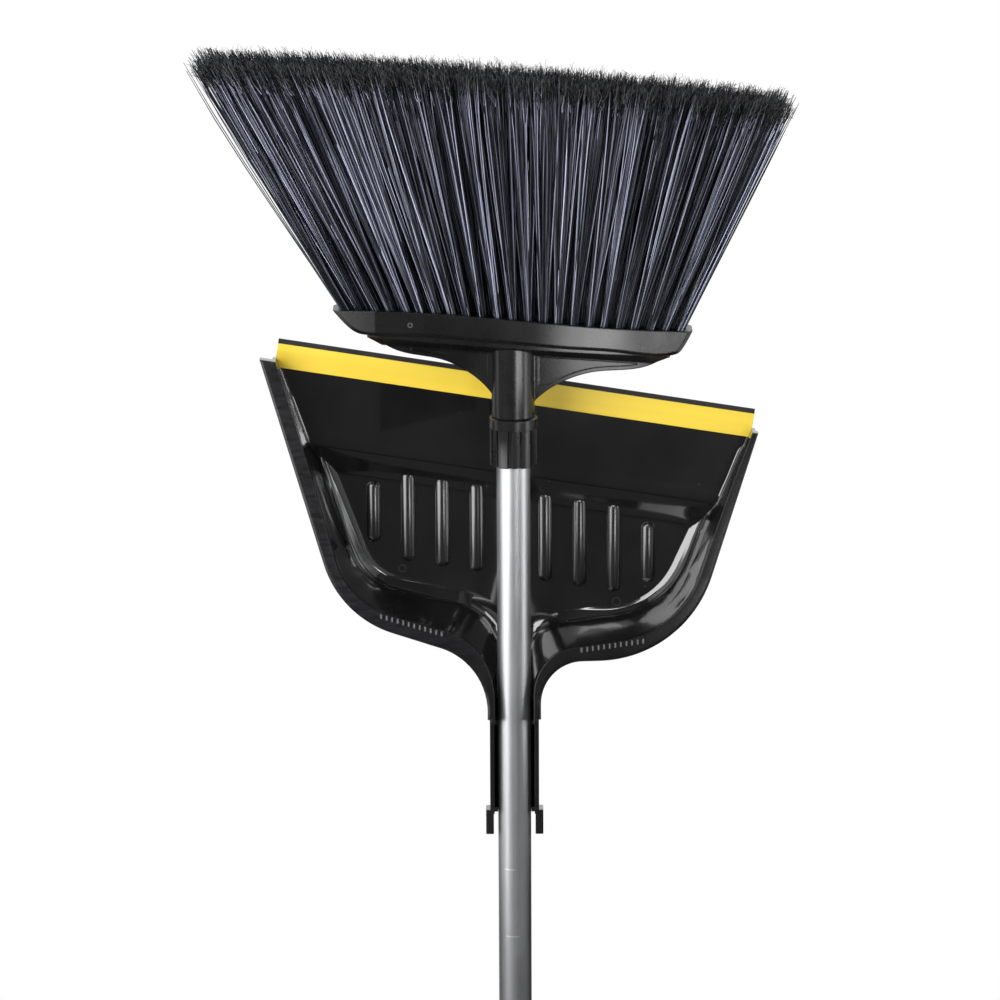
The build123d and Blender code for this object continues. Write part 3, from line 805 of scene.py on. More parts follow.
class StrandTree(PointTree):
    """Grows a bundle of tapered strands from each point towards the point's own tip."""

    NAME = "tuft_strands"
    ATTRIBUTE = "tip"
    ATTRIBUTE_KIND = "FLOAT_VECTOR"
    INPUTS = {
        "Strands": 40,
        "Root spread": 0.0024,
        "Tip spread": 0.008,
        "Depth share": 0.6,
        "Stray": 0.003,
        "Trim": 0.002,
        "Bow": 0.003,
        "Kink": 0.0,
        "Kink scale": 170.0,
        "Thickness": 0.0006,
        "Tip thickness": 0.5,
        "Along start": 0.0,
        # Shade scales each strand's tone: a painted shade, lower for the inner rows.
        "Shade": 1.0,
        "Steps": 7,
        "Sides": 3,
        "Seed": 1,
    }

    def _random(self, draw: Draw, low: float, high: float) -> NodeSocket:
        """A random number for each strand, from the tree's seed and the draw's own shift.

        Args:
            draw: What is drawn.
            low: The least number.
            high: The greatest number.

        Returns:
            The number's socket.
        """
        seed = self.canvas.math("ADD", self.inputs["Seed"], float(draw))
        inputs = {2: low, 3: high, "Seed": seed}
        return self.canvas.add("FunctionNodeRandomValue", inputs, data_type="FLOAT").outputs[1]

    def _across(self, x: Draw, y: Draw, low: float = -1.0, high: float = 1.0) -> NodeSocket:
        """A random level vector for each strand."""
        return self.canvas.combine(self._random(x, low, high), self._random(y, low, high))

    def _scatter(self, points: NodeSocket) -> NodeSocket:
        """Store root, end, bow, tone with the row's painted shade, and curl of each strand on its point.

        Args:
            points: The strands' points.

        Returns:
            The geometry's socket.
        """
        canvas, inputs, vector = self.canvas, self.inputs, self.canvas.vector
        turn = self._random(Draw.TURN, 0.0, math.tau)
        reach = canvas.math("SQRT", self._random(Draw.REACH, 0.0, 1.0))
        side = canvas.combine(*(canvas.times(canvas.math(way, turn), reach) for way in ("COSINE", "SINE")))
        loose = vector("SCALE", self._across(Draw.STRAY_X, Draw.STRAY_Y), inputs["Stray"])
        bow = vector("SCALE", self._across(Draw.BOW_X, Draw.BOW_Y), inputs["Bow"])
        trim = canvas.combine(z=canvas.times(self._random(Draw.TRIM, -1.0, 0.15), inputs["Trim"]))
        # The tone carries the row's painted shade.
        tone = canvas.times(self._random(Draw.TONE, 0.0, 1.0), inputs["Shade"])
        curl = self._across(Draw.CURL_X, Draw.CURL_Y, 0.0, 9.0)
        root = vector("ADD", canvas.geometry("InputPosition"), vector("SCALE", side, inputs["Root spread"]))
        wide = vector("SCALE", side, inputs["Tip spread"])
        flat = canvas.combine(1.0, inputs["Depth share"], 1.0)
        shift = vector("MULTIPLY", vector("ADD", wide, loose), flat)
        end = vector("ADD", vector("ADD", self._named("tip", "FLOAT_VECTOR"), shift), trim)
        for name, value in (("root", root), ("end", end), ("bow", bow)):
            points = self._store(points, name, "FLOAT_VECTOR", value)
        points = self._store(points, "strand_tone_and_painted_shade", "FLOAT", tone)
        return self._store(points, "curl", "FLOAT_VECTOR", curl)

    def _path(self, along: NodeSocket) -> NodeSocket:
        """The place of each point of a strand.

        Args:
            along: How far along its strand a point lies.

        Returns:
            The place's socket.
        """
        canvas, inputs, vector = self.canvas, self.inputs, self.canvas.vector
        root, end, bow, curl = (self._named(name, "FLOAT_VECTOR") for name in ("root", "end", "bow", "curl"))
        straight = vector("ADD", root, vector("SCALE", vector("SUBTRACT", end, root), along))
        sway = canvas.times(canvas.times(along, along), canvas.math("SUBTRACT", 1.0, along))
        bent = vector("ADD", straight, vector("SCALE", bow, sway))
        waves = canvas.noise(vector("ADD", bent, curl), inputs["Kink scale"], 1.0)
        sideways = vector("SUBTRACT", waves.outputs["Color"], (0.5, 0.5, 0.5))
        return vector("ADD", bent, vector("SCALE", sideways, canvas.times(along, inputs["Kink"])))

    def form(self) -> NodeSocket:
        """Place the nodes of the strands.

        Returns:
            The strands' socket.
        """
        canvas, inputs = self.canvas, self.inputs
        points = canvas.geometry("MeshToPoints", {"Mesh": inputs["Geometry"]})
        amount = {"Geometry": points, "Amount": inputs["Strands"]}
        strands = self._scatter(canvas.geometry("DuplicateElements", amount, domain="POINT"))
        line = canvas.geometry("CurvePrimitiveLine", {"Start": (0.0, 0.0, 0.0), "End": (0.0, 0.0, 1.0)})
        steps = canvas.geometry("ResampleCurve", {"Curve": line, "Count": inputs["Steps"]})
        placed = canvas.geometry("InstanceOnPoints", {"Points": strands, "Instance": steps})
        real = canvas.geometry("RealizeInstances", {"Geometry": placed})
        along = canvas.add("GeometryNodeSplineParameter").outputs["Factor"]
        shaped = canvas.geometry("SetPosition", {"Geometry": real, "Position": self._path(along)})
        marked = self._store(shaped, "strand_along", "FLOAT", along)
        taper = canvas.span(along, inputs["Along start"], 1.0, 1.0, inputs["Tip thickness"])
        width = canvas.times(taper, canvas.times(inputs["Thickness"], 0.5))
        ring = canvas.geometry("CurvePrimitiveCircle", {"Resolution": inputs["Sides"], "Radius": 1.0})
        tube = {"Curve": marked, "Profile Curve": ring, "Scale": width, "Fill Caps": True}
        return canvas.geometry("CurveToMesh", tube)


class RibTree(PointTree):
    """Lays a rounded rib over each point: a long low dome with round ends."""

    NAME = "rib_domes"
    ATTRIBUTE = "half_run"
    ATTRIBUTE_KIND = "FLOAT"
    INPUTS = {"Half width": 0.004, "Height": 0.003, "Root": 0.0004, "Segments": 24, "Rings": 14}
    POLE_SNAP = 0.00001

    def form(self) -> NodeSocket:
        """Place the nodes of the domes.

        Returns:
            The domes' socket.
        """
        canvas, inputs = self.canvas, self.inputs
        size = {"Segments": inputs["Segments"], "Rings": inputs["Rings"], "Radius": 1.0}
        ball = canvas.geometry("MeshUVSphere", size)
        x, y, z = canvas.axes(canvas.geometry("InputPosition"))
        front = canvas.math("MINIMUM", canvas.times(y, inputs["Height"]), inputs["Root"])
        half = inputs["Half width"]
        dome = canvas.combine(canvas.times(x, half), front, canvas.times(z, half))
        shaped = canvas.geometry("SetPosition", {"Geometry": ball, "Position": dome})
        sign = canvas.math("SIGN", canvas.math("SNAP", z, self.POLE_SNAP))
        poled = self._store(shaped, "pole", "FLOAT", sign)
        points = canvas.geometry("MeshToPoints", {"Mesh": inputs["Geometry"]})
        placed = canvas.geometry("InstanceOnPoints", {"Points": points, "Instance": poled})
        real = canvas.geometry("RealizeInstances", {"Geometry": placed})
        shift = canvas.times(self._named("half_run", "FLOAT"), self._named("pole", "FLOAT"))
        return canvas.geometry("SetPosition", {"Geometry": real, "Offset": canvas.combine(z=shift)})


def loft(name: str, loops: Iterable[Iterable[Sequence[float]]], material: Material) -> Mesh:
    """A closed mesh through loops that have the same number of points.

    Args:
        name: The mesh's name.
        loops: The closed loops, in millimetres over the seat.
        material: Its finish.

    Returns:
        The mesh.
    """
    shape = bmesh.new()
    rings = [[shape.verts.new(in_frame(point)) for point in loop] for loop in loops]
    size = len(rings[0])
    for one, two in zip(rings, rings[1:]):
        for i in range(size):
            shape.faces.new((one[i], one[(i + 1) % size], two[(i + 1) % size], two[i]))
    shape.faces.new(rings[0])
    shape.faces.new(rings[-1])
    bmesh.ops.recalc_face_normals(shape, faces=shape.faces)
    mesh = bpy.data.meshes.new(name)
    shape.to_mesh(mesh)
    shape.free()
    mesh.materials.append(material)
    return mesh


def join_meshes(name: str, meshes: Iterable[Mesh]) -> Object:
    """Join meshes that are already in place into one object.

    Args:
        name: The object's name.
        meshes: The meshes, which are used up.

    Returns:
        The object, at the origin.
    """
    objects = []
    for mesh in meshes:
        part = bpy.data.objects.new(name, mesh)
        bpy.context.scene.collection.objects.link(part)
        objects.append(part)
    first = objects[0]
    if len(objects) > 1:
        with bpy.context.temp_override(active_object=first, object=first, selected_editable_objects=objects):
            bpy.ops.object.join()
    first.name = name
    first.data.name = name
    return first


def settle(piece: Object, body: Body, slot: Slot, replaced: Sequence[str] = ()) -> None:
    """Give a piece its body and hide the nodes that it stands for.

    Args:
        piece: The piece.
        body: The rigid body that it rides on.
        slot: Its material slot; not used.
        replaced: Names of the CAD nodes that it stands for.
    """
    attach(piece, body.value)
    if replaced:
        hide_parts(*replaced)
    LOG.info("%s on %s: %d faces", piece.name, body.value, len(piece.data.polygons))


@dataclass
class BristleField:
    """The five tuft rows of the angled head, as dense strands with flagged tips on their backing slices."""

    MAIN: ClassVar[dict[str, float]] = {
        "Strands": 58, "Steps": 6, "Thickness": 0.00074, "Trim": 0.006, "Root spread": 0.0026,
        "Tip spread": 0.0070, "Stray": 0.006, "Bow": 0.014, "Tip thickness": 0.45, "Along start": 0.8,
    }
    STRAYS: ClassVar[dict[str, float]] = {
        "Strands": 6, "Steps": 6, "Thickness": 0.0008, "Trim": 0.006, "Root spread": 0.0024,
        "Tip spread": 0.005, "Stray": 0.010, "Depth share": 0.3, "Bow": 0.02, "Tip thickness": 0.5,
        "Along start": 0.8,
    }
    FLAGS: ClassVar[dict[str, float]] = {
        "Steps": 6, "Thickness": 0.00046, "Trim": 0.009, "Root spread": 0.0068, "Tip spread": 0.0066,
        "Stray": 0.0034, "Bow": 0.008, "Kink": 0.016, "Tip thickness": 0.45,
    }
    MAIN_SEED: ClassVar[int] = 100
    STRAY_SEED: ClassVar[int] = 200
    FLAG_SEED: ClassVar[int] = 300
    FLAG_STEP: ClassVar[int] = 10

    half_block: float = 117.5
    head_height: float = 68.4
    crown: float = 2.5
    sway: float = 7.4
    depth_middle: float = 42.0
    depth_end: float = 22.0
    border: float = 2.0
    rows: int = 5
    tufts: int = 23
    reach: float = 218.0
    root_sink: float = 1.0
    slice_thickness: float = 3.0
    slice_length: float = 226.0
    slice_gap: float = 0.05
    slice_stations: int = 61
    tip_lean: float = -13.0
    tip_spread: float = 1.7
    tip_depth: float = 68.0
    trim_height: float = 229.0
    trim_slope: float = 0.079
    trim_crown: float = 0.00012
    # Painted shade of each row: the inner rows' strands are darkened as if shaded by the outer ones.
    row_painted_shades: tuple[float, ...] = (1.0, 0.8, 0.5, 0.8, 1.0)
    flags: tuple[tuple[float, int], ...] = ((0.88, 26), (0.91, 34), (0.935, 30))
    flag_offset: float = 0.06

    def face_height(self, x: float) -> float:
        """Height of the bristle face over the seat."""
        share = x / self.half_block
        return self.head_height - self.crown * share**2 - self.sway * math.sin(math.pi / 2 * share)

    def half_depth(self, x: float) -> float:
        """Half the depth of the field of tufts."""
        share = x / self.half_block
        return (self.depth_end + (self.depth_middle - self.depth_end) * (1 - share**2)) / 2 - self.border

    def tuft_lines(self, row: int) -> tuple[np.ndarray, np.ndarray]:
        """Root and tip of each tuft in one row.

        Args:
            row: The row, counted from the front.

        Returns:
            Roots and tips in metres.
        """
        pitch = self.reach / (self.tufts - 1)
        count = self.tufts - row % 2
        share = -1 + (2 * row + 1) / self.rows
        roots, tips = [], []
        for i in range(count):
            x = pitch * (i - (count - 1) / 2)
            tip_x = self.tip_lean + self.tip_spread * x
            trim = self.trim_height - self.trim_slope * tip_x - self.trim_crown * tip_x**2
            roots.append(in_frame((x, share * self.half_depth(x), self.face_height(x) - self.root_sink)))
            tips.append(in_frame((tip_x, share * self.tip_depth / 2, trim)))
        return np.array(roots), np.array(tips)

    def slice_mesh(self, row: int, material: Material) -> Mesh:
        """The backing slice of one row: a closed strip that follows the bristle face.

        Args:
            row: The row, counted from the front.
            material: Its finish.

        Returns:
            The strip's mesh.
        """
        near, far = -1 + 2 * row / self.rows, -1 + 2 * (row + 1) / self.rows
        loops = []
        for x in np.linspace(-self.slice_length / 2, self.slice_length / 2, self.slice_stations):
            depth, top = self.half_depth(x), self.face_height(x)
            front, back = near * depth + self.slice_gap, far * depth - self.slice_gap
            low = top - self.slice_thickness
            loops.append(((x, front, top), (x, back, top), (x, back, low), (x, front, low)))
        return loft("slice", loops, material)

    def flag_meshes(self, tree: StrandTree, row: int, roots: np.ndarray, tips: np.ndarray) -> list[Mesh]:
        """The split tips of one row, grown from several heights.

        Args:
            tree: The strand tree.
            row: The row, counted from the front.
            roots: The tufts' roots.
            tips: The tufts' tips.

        Returns:
            One mesh for each height.
        """
        meshes = []
        for part, (begin, count) in enumerate(self.flags):
            own = {"Strands": count, "Seed": self.FLAG_SEED + self.FLAG_STEP * part + row}
            starts = roots + (tips - roots) * begin
            split = tree.grow(f"flags_{row}_{part}", starts, tips, {**self.FLAGS, **own})
            level = split.attributes["strand_along"]
            values = np.zeros(len(split.vertices), dtype=np.float32)
            level.data.foreach_get("value", values)
            rest = 1 - self.flag_offset - begin
            level.data.foreach_set("value", begin + self.flag_offset + values * rest)
            meshes.append(split)
        return meshes

    def build(self, tree: StrandTree, backing: Material) -> None:
        """Make all rows, each in place of its CAD node.

        Args:
            tree: The strand tree.
            backing: Finish of the slices.
        """
        # Each row's painted shade goes to the strand tree as its Shade input.
        for row, shade in enumerate(self.row_painted_shades):
            roots, tips = self.tuft_lines(row)
            main = {**self.MAIN, "Seed": self.MAIN_SEED + row, "Shade": shade}
            strays = {**self.STRAYS, "Seed": self.STRAY_SEED + row}
            tufts = [
                tree.grow(f"strands_{row}", roots, tips, main),
                tree.grow(f"strays_{row}", roots, tips, strays),
                *self.flag_meshes(tree, row, roots, tips),
                self.slice_mesh(row, backing),
            ]
            piece = join_meshes(f"tuft_row_{row + 1}", tufts)
            settle(piece, Body.HEAD, Slot.BRISTLE, [f"bristle_row_{row + 1}"])


@dataclass
class TrayRibs:
    """The rounded crowns of the eight stiffening ribs on the pan's floor."""

    pitch: float = 23.0
    middle_x: float = -1.7
    middle_z: float = -89.0
    lengths: tuple[float, ...] = (60.0, 60.0, 60.0, 40.0)
    width: float = 7.4
    crown: float = 3.4
    cover: float = 1.0

    def build(self, material: Material) -> None:
        """Lay the crowns over the ribs.

        Args:
            material: Their finish.
        """
        spots, runs = [], []
        for i, length in enumerate(self.lengths):
            for side in (-1, 1):
                x = self.middle_x + side * (i + 1) * self.pitch
                z = self.middle_z - (x - self.middle_x) * math.tan(LIP_SLOPE)
                spots.append(in_frame((x, FLOOR_DEPTH, z)))
                runs.append((length - self.width) / 2 * MM)
        size = {"Half width": (self.width / 2 + self.cover) * MM, "Height": self.crown * MM}
        mesh = RibTree(material).grow("ribs", spots, runs, size)
        settle(join_meshes("rib_crowns", [mesh]), Body.DUSTPAN, Slot.PAN_PLASTIC)


@dataclass
class TraySweep:
    """The pan's dished wall and soft step, felt out on the CAD pan and laid over its foot radius."""

    probe_depth: float = 30.0
    probe_front: float = 20.0
    apron_depth: float = 33.0
    root: float = 0.6
    foot_lap: float = 1.4
    foot_rise: float = 0.4
    foot: float = math.radians(24.0)
    stand_off: float = 12.0
    far_off: float = 25.0
    least_run: float = 2.5
    cover: float = 0.05
    smoothing: int = 9
    neck_share: float = 0.16
    lip_share: float = 0.05
    sink: float = 0.3
    levels: int = 7
    steepening: int = 3
    rim_gap: float = 2.4
    stations: int = 160
    segments: int = 28
    right_centre: Pair = (40.0, -75.0)
    right_turn: Pair = (-97.0, 23.5)
    left_centre: Pair = (-45.0, -75.0)
    left_turn: Pair = (-78.0, -220.0)
    step_middle: Pair = (3.0, -44.5)
    step_slope: float = math.radians(8.7)
    step_half: float = 138.0
    step_probe: float = 100.0
    step_probes: int = 24
    step_search: float = 14.0
    step_halvings: int = 14
    step_stations: int = 12
    step_inset: float = 25.0
    step_lap: float = 9.0
    step_run: float = 24.0
    film: float = 0.03
    sharp: float = math.radians(35.0)

    def __post_init__(self) -> None:
        """Make the CAD pan ready to be felt out."""
        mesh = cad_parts["dustpan"].data
        self.skin = BVHTree.FromPolygons(
            [v.co.copy() for v in mesh.vertices], [tuple(p.vertices) for p in mesh.polygons]
        )

    def _feel(self, start: Triple, way: Triple) -> Optional[np.ndarray]:
        """The first point of the pan along a line, or None.

        Args:
            start: Where the line starts.
            way: Its direction.

        Returns:
            The point.
        """
        place = self.skin.ray_cast(Vector(in_frame(start)), Vector(way).normalized())[0]
        return None if place is None else (np.array(place) - np.array((0.0, 0.0, SEAT_Z))) / MM

    def _on_apron(self, point: np.ndarray) -> bool:
        """Whether the apron, and not the well's floor, lies behind a point in x and z."""
        place = self._feel((point[0], self.probe_front, point[1]), (0.0, 1.0, 0.0))
        return place is not None and place[1] < (self.apron_depth + FLOOR_DEPTH) / 2

    def _smooth(self, values: Sequence[float]) -> np.ndarray:
        """A running mean that keeps the ends."""
        padded = np.pad(np.asarray(values, dtype=float), self.smoothing // 2, mode="edge")
        return np.convolve(padded, np.ones(self.smoothing) / self.smoothing, mode="valid")

    def _wall(self, centre: Pair, turn: Pair) -> tuple[np.ndarray, np.ndarray]:
        """The wall's line at the probe's depth, evenly spaced, and its inward normals.

        Args:
            centre: A point inside the well, from which the wall is felt.
            turn: First and last direction in degrees.

        Returns:
            Points and normals in x and z.
        """
        felt = []
        for angle in np.radians(np.linspace(*turn, self.stations * 3)):
            way = (math.cos(angle), 0.0, math.sin(angle))
            place = self._feel((centre[0], self.probe_depth, centre[1]), way)
            if place is not None:
                felt.append(place[[0, 2]])
        felt = np.array(felt)
        run = np.concatenate(([0.0], np.cumsum(np.linalg.norm(np.diff(felt, axis=0), axis=1))))
        even = np.linspace(0.0, run[-1], self.stations)
        line = np.column_stack([np.interp(even, run, felt[:, i]) for i in (0, 1)])
        tangent = np.column_stack([self._smooth(column) for column in np.gradient(line, axis=0).T])
        normal = np.column_stack((-tangent[:, 1], tangent[:, 0]))
        normal /= np.linalg.norm(normal, axis=1)[:, None]
        inward = np.sign(np.sum((np.array(centre) - line) * normal, axis=1))
        return line, normal * np.sign(inward.sum())

    def _reach(self, point: np.ndarray, normal: np.ndarray, depth: float) -> np.ndarray:
        """The wall's point at another depth, straight outwards from a point well inside the wall.

        Args:
            point: The wall's point at the probe's depth.
            normal: Its inward normal.
            depth: The depth.

        Returns:
            The point in x and z.
        """
        begin = point + normal * self.stand_off
        place = self._feel((begin[0], depth, begin[1]), (-normal[0], 0.0, -normal[1]))
        if place is None or np.linalg.norm(place[[0, 2]] - point) > self.far_off:
            return point
        return place[[0, 2]]

    def _rim(self, point: np.ndarray) -> float:
        """Depth of the rim's plane over a point.

        Args:
            point: The point in x and z.

        Returns:
            The depth.
        """
        across, out, up = RIM_NORMAL
        lean = across * (point[0] - RIM_ORIGIN[0]) + up * (point[1] - RIM_ORIGIN[2])
        return RIM_ORIGIN[1] - lean / out

    def _ground(self, point: np.ndarray, normal: np.ndarray) -> float:
        """Depth of the floor or the apron beside the wall."""
        return self.apron_depth if self._on_apron(point + normal * self.stand_off) else FLOOR_DEPTH

    def _dish(
        self, point: np.ndarray, normal: np.ndarray, depths: Pair, wall: np.ndarray, fade: float
    ) -> np.ndarray:
        """One section of the dished wall, as a closed loop.

        Args:
            point: The wall's point at the probe's depth.
            normal: Its inward normal.
            depths: Depth of the wall's top and of the floor.
            wall: How far inwards the CAD wall lies at each level.
            fade: How far the section stands out of the CAD wall, from 0 to 1.

        Returns:
            The loop's points.
        """
        top, ground = depths
        run = max(wall[-1] - wall[0] + self.foot_lap, self.least_run)
        slope = math.tan(self.foot)
        u = np.sin(np.linspace(math.pi / 2, 0.0, self.segments + 1))
        fall = slope * u + ((ground - top) / run - slope) * u ** (self.steepening + 1)
        depth = ground - run * fall
        felt = np.linspace(top + self.root, ground - self.foot_rise, self.levels)
        shell = np.interp(depth, felt, wall)
        bulge = np.maximum(wall[0] + run * (1 - u) + self.cover - shell, -self.sink) + self.sink
        reach = shell - self.sink + bulge * fade
        reach = np.concatenate((reach, reach[-1:], wall[::-1] - self.root - self.sink))
        depth = np.concatenate((depth, (ground + self.root,), felt[::-1] + self.sink))
        flat = point + reach[:, None] * normal
        return np.column_stack((flat[:, 0], depth, flat[:, 1]))

    def _dished_wall(self, centre: Pair, turn: Pair) -> list[np.ndarray]:
        """All sections of one side's wall, from the neck to the lip.

        Args:
            centre: A point inside the well, from which the wall is felt.
            turn: First and last direction in degrees.

        Returns:
            The sections' loops.
        """
        line, normals = self._wall(centre, turn)
        tops = self._smooth([self._rim(p) + self.rim_gap for p in line])
        grounds = np.array([self._ground(p, n) for p, n in zip(line, normals)])
        walls = []
        for level in np.linspace(0.0, 1.0, self.levels):
            depths = (1 - level) * (tops + self.root) + level * (grounds - self.foot_rise)
            felt = [self._reach(p, n, depth) for p, n, depth in zip(line, normals, depths)]
            walls.append(self._smooth([np.dot(f - p, n) for f, p, n in zip(felt, line, normals)]))
        share = np.linspace(0.0, 1.0, self.stations)
        fade = np.clip(np.minimum(share / self.neck_share, (1 - share) / self.lip_share), 0.0, 1.0)
        fade = fade**2 * (3 - 2 * fade)
        depths = zip(tops, self._smooth(grounds))
        return [self._dish(*section) for section in zip(line, normals, depths, np.array(walls).T, fade)]

    def _inside(self, point: np.ndarray, depth: float, side: float) -> float:
        """How far out a point may lie without coming through the wall, counted from the middle.

        Args:
            point: The point in x and z.
            depth: Its depth.
            side: 1 for the right wall, -1 for the left one.

        Returns:
            The distance.
        """
        level = min(depth, FLOOR_DEPTH) - self.foot_rise
        place = self._feel((point[0] - side * self.step_inset, level, point[1]), (side, 0.0, 0.0))
        return side * (point[0] if place is None else place[0]) + self.root

    def _step_line(self, x: float) -> np.ndarray:
        """The point of the step's rough line at one x."""
        return np.array((x, self.step_middle[1] - (x - self.step_middle[0]) * math.tan(self.step_slope)))

    def _step_edge(self, x: float, down: np.ndarray) -> float:
        """How far below its rough line the apron's edge lies at one x, felt out by halving.

        Args:
            x: The place along the step.
            down: The direction across it.

        Returns:
            The distance.
        """
        above, below = -self.step_search, self.step_search
        for _ in range(self.step_halvings):
            reach = (above + below) / 2
            on_apron = self._on_apron(self._step_line(x) + down * reach)
            above, below = (reach, below) if on_apron else (above, reach)
        return above

    def _step(self) -> list[np.ndarray]:
        """All sections of the soft step between the apron and the well.

        Returns:
            The sections' loops.
        """
        down = np.array((-math.sin(self.step_slope), -math.cos(self.step_slope)))
        felt = np.linspace(-self.step_probe, self.step_probe, self.step_probes)
        slant, lift = np.polyfit(felt, [self._step_edge(x, down) for x in felt], 1)
        u = np.linspace(0.0, 1.0, self.segments + 1)
        start = self.apron_depth - self.film
        fall = start + (FLOOR_DEPTH - self.apron_depth) * u**2 * (3 - 2 * u)
        fall[-1] = FLOOR_DEPTH + self.film
        lap, run, back = -self.step_lap, self.step_run, self.root
        reach = np.concatenate(((lap, lap / 2), u * run, (run, lap)))
        front, rear = (self.apron_depth + self.film, start), (FLOOR_DEPTH + back, self.apron_depth + back)
        depth = np.concatenate((front, fall, rear))
        sections = []
        for x in np.linspace(-self.step_half, self.step_half, self.step_stations):
            flat = self._step_line(x) + (slant * x + lift + reach[:, None]) * down
            if abs(x) == self.step_half:
                side = math.copysign(1.0, x)
                limits = [self._inside(point, level, side) for point, level in zip(flat, depth)]
                flat[:, 0] = side * np.minimum(side * flat[:, 0], limits)
            sections.append(np.column_stack((flat[:, 0], depth, flat[:, 1])))
        return sections

    def build(self, material: Material) -> None:
        """Make both walls and the step, smooth but for their back edges.

        Args:
            material: Their finish.
        """
        sections = {
            "sweep_right": self._dished_wall(self.right_centre, self.right_turn),
            "sweep_left": self._dished_wall(self.left_centre, self.left_turn),
            "sweep_step": self._step(),
        }
        parts = [loft(name, loops, material) for name, loops in sections.items()]
        for mesh in parts:
            mesh.shade_smooth()
            mesh.set_sharp_from_angle(angle=self.sharp)
        settle(join_meshes("tray_sweep", parts), Body.DUSTPAN, Slot.PAN_PLASTIC)


class Mouldings:
    """The rigid CAD pieces, smoothed over their joined faces and dressed in their finishes."""

    def __init__(self) -> None:
        """Build the shading tree once."""
        self.shading = SoftShading()

    def dress(self, node: str, material: Material) -> None:
        """Give a CAD node its finish and soft shading.

        Args:
            node: The node's name.
            material: Its finish.
        """
        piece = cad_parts[node]
        piece.data.materials.clear()
        piece.data.materials.append(material)
        piece.modifiers.new("soft_shading", "NODES").node_group = self.shading.tree
        LOG.info("%s dressed in %s", node, material.name)


@dataclass(frozen=True)
class Lamp:
    """A soft rectangular lamp, which may show in reflections only."""

    name: str
    place: Triple
    size: Pair
    power: float
    aim: Triple = (0.0, 0.0, 0.56)
    only_shine: bool = False

    def hang(self) -> None:
        """Put the lamp into the scene."""
        light = bpy.data.lights.new(self.name, "AREA")
        light.shape = "RECTANGLE"
        light.size, light.size_y = self.size
        light.energy = self.power
        holder = bpy.data.objects.new(self.name, light)
        holder.location = self.place
        holder.visible_diffuse = not self.only_shine
        way = Vector(self.aim) - Vector(self.place)
        holder.rotation_euler = way.to_track_quat("-Z", "Y").to_euler()
        bpy.context.scene.collection.objects.link(holder)


@dataclass(frozen=True)
class Card:
    """A dark card that only reflections show."""

    name: str
    corners: tuple[Triple, Triple, Triple, Triple]
    glow: float = CARD_GLOW

    @classmethod
    def upright(cls, name: str, start: Pair, end: Pair, heights: Pair, glow: float = CARD_GLOW) -> "Card":
        """A card over a line on the floor.

        Args:
            name: Its name.
            start: One end of the line in x and y.
            end: The other end.
            heights: Its lower and upper edge.
            glow: How bright it looks in a reflection.

        Returns:
            The card.
        """
        low, top = heights
        return cls(name, ((*start, low), (*end, low), (*end, top), (*start, top)), glow)

    def stand(self) -> None:
        """Put the card into the scene."""
        mesh = bpy.data.meshes.new(self.name)
        mesh.from_pydata(self.corners, [], [(0, 1, 2, 3)])
        material, _, bsdf = node_material(self.name)
        bsdf.inputs["Base Color"].default_value = rgb(0.0, 0.0, 0.0)
        bsdf.inputs["Specular IOR Level"].default_value = 0.0
        bsdf.inputs["Emission Color"].default_value = rgb(1.0, 1.0, 1.0)
        bsdf.inputs["Emission Strength"].default_value = self.glow
        mesh.materials.append(material)
        piece = bpy.data.objects.new(self.name, mesh)
        piece.visible_camera = False
        piece.visible_shadow = False
        piece.visible_diffuse = False
        bpy.context.scene.collection.objects.link(piece)


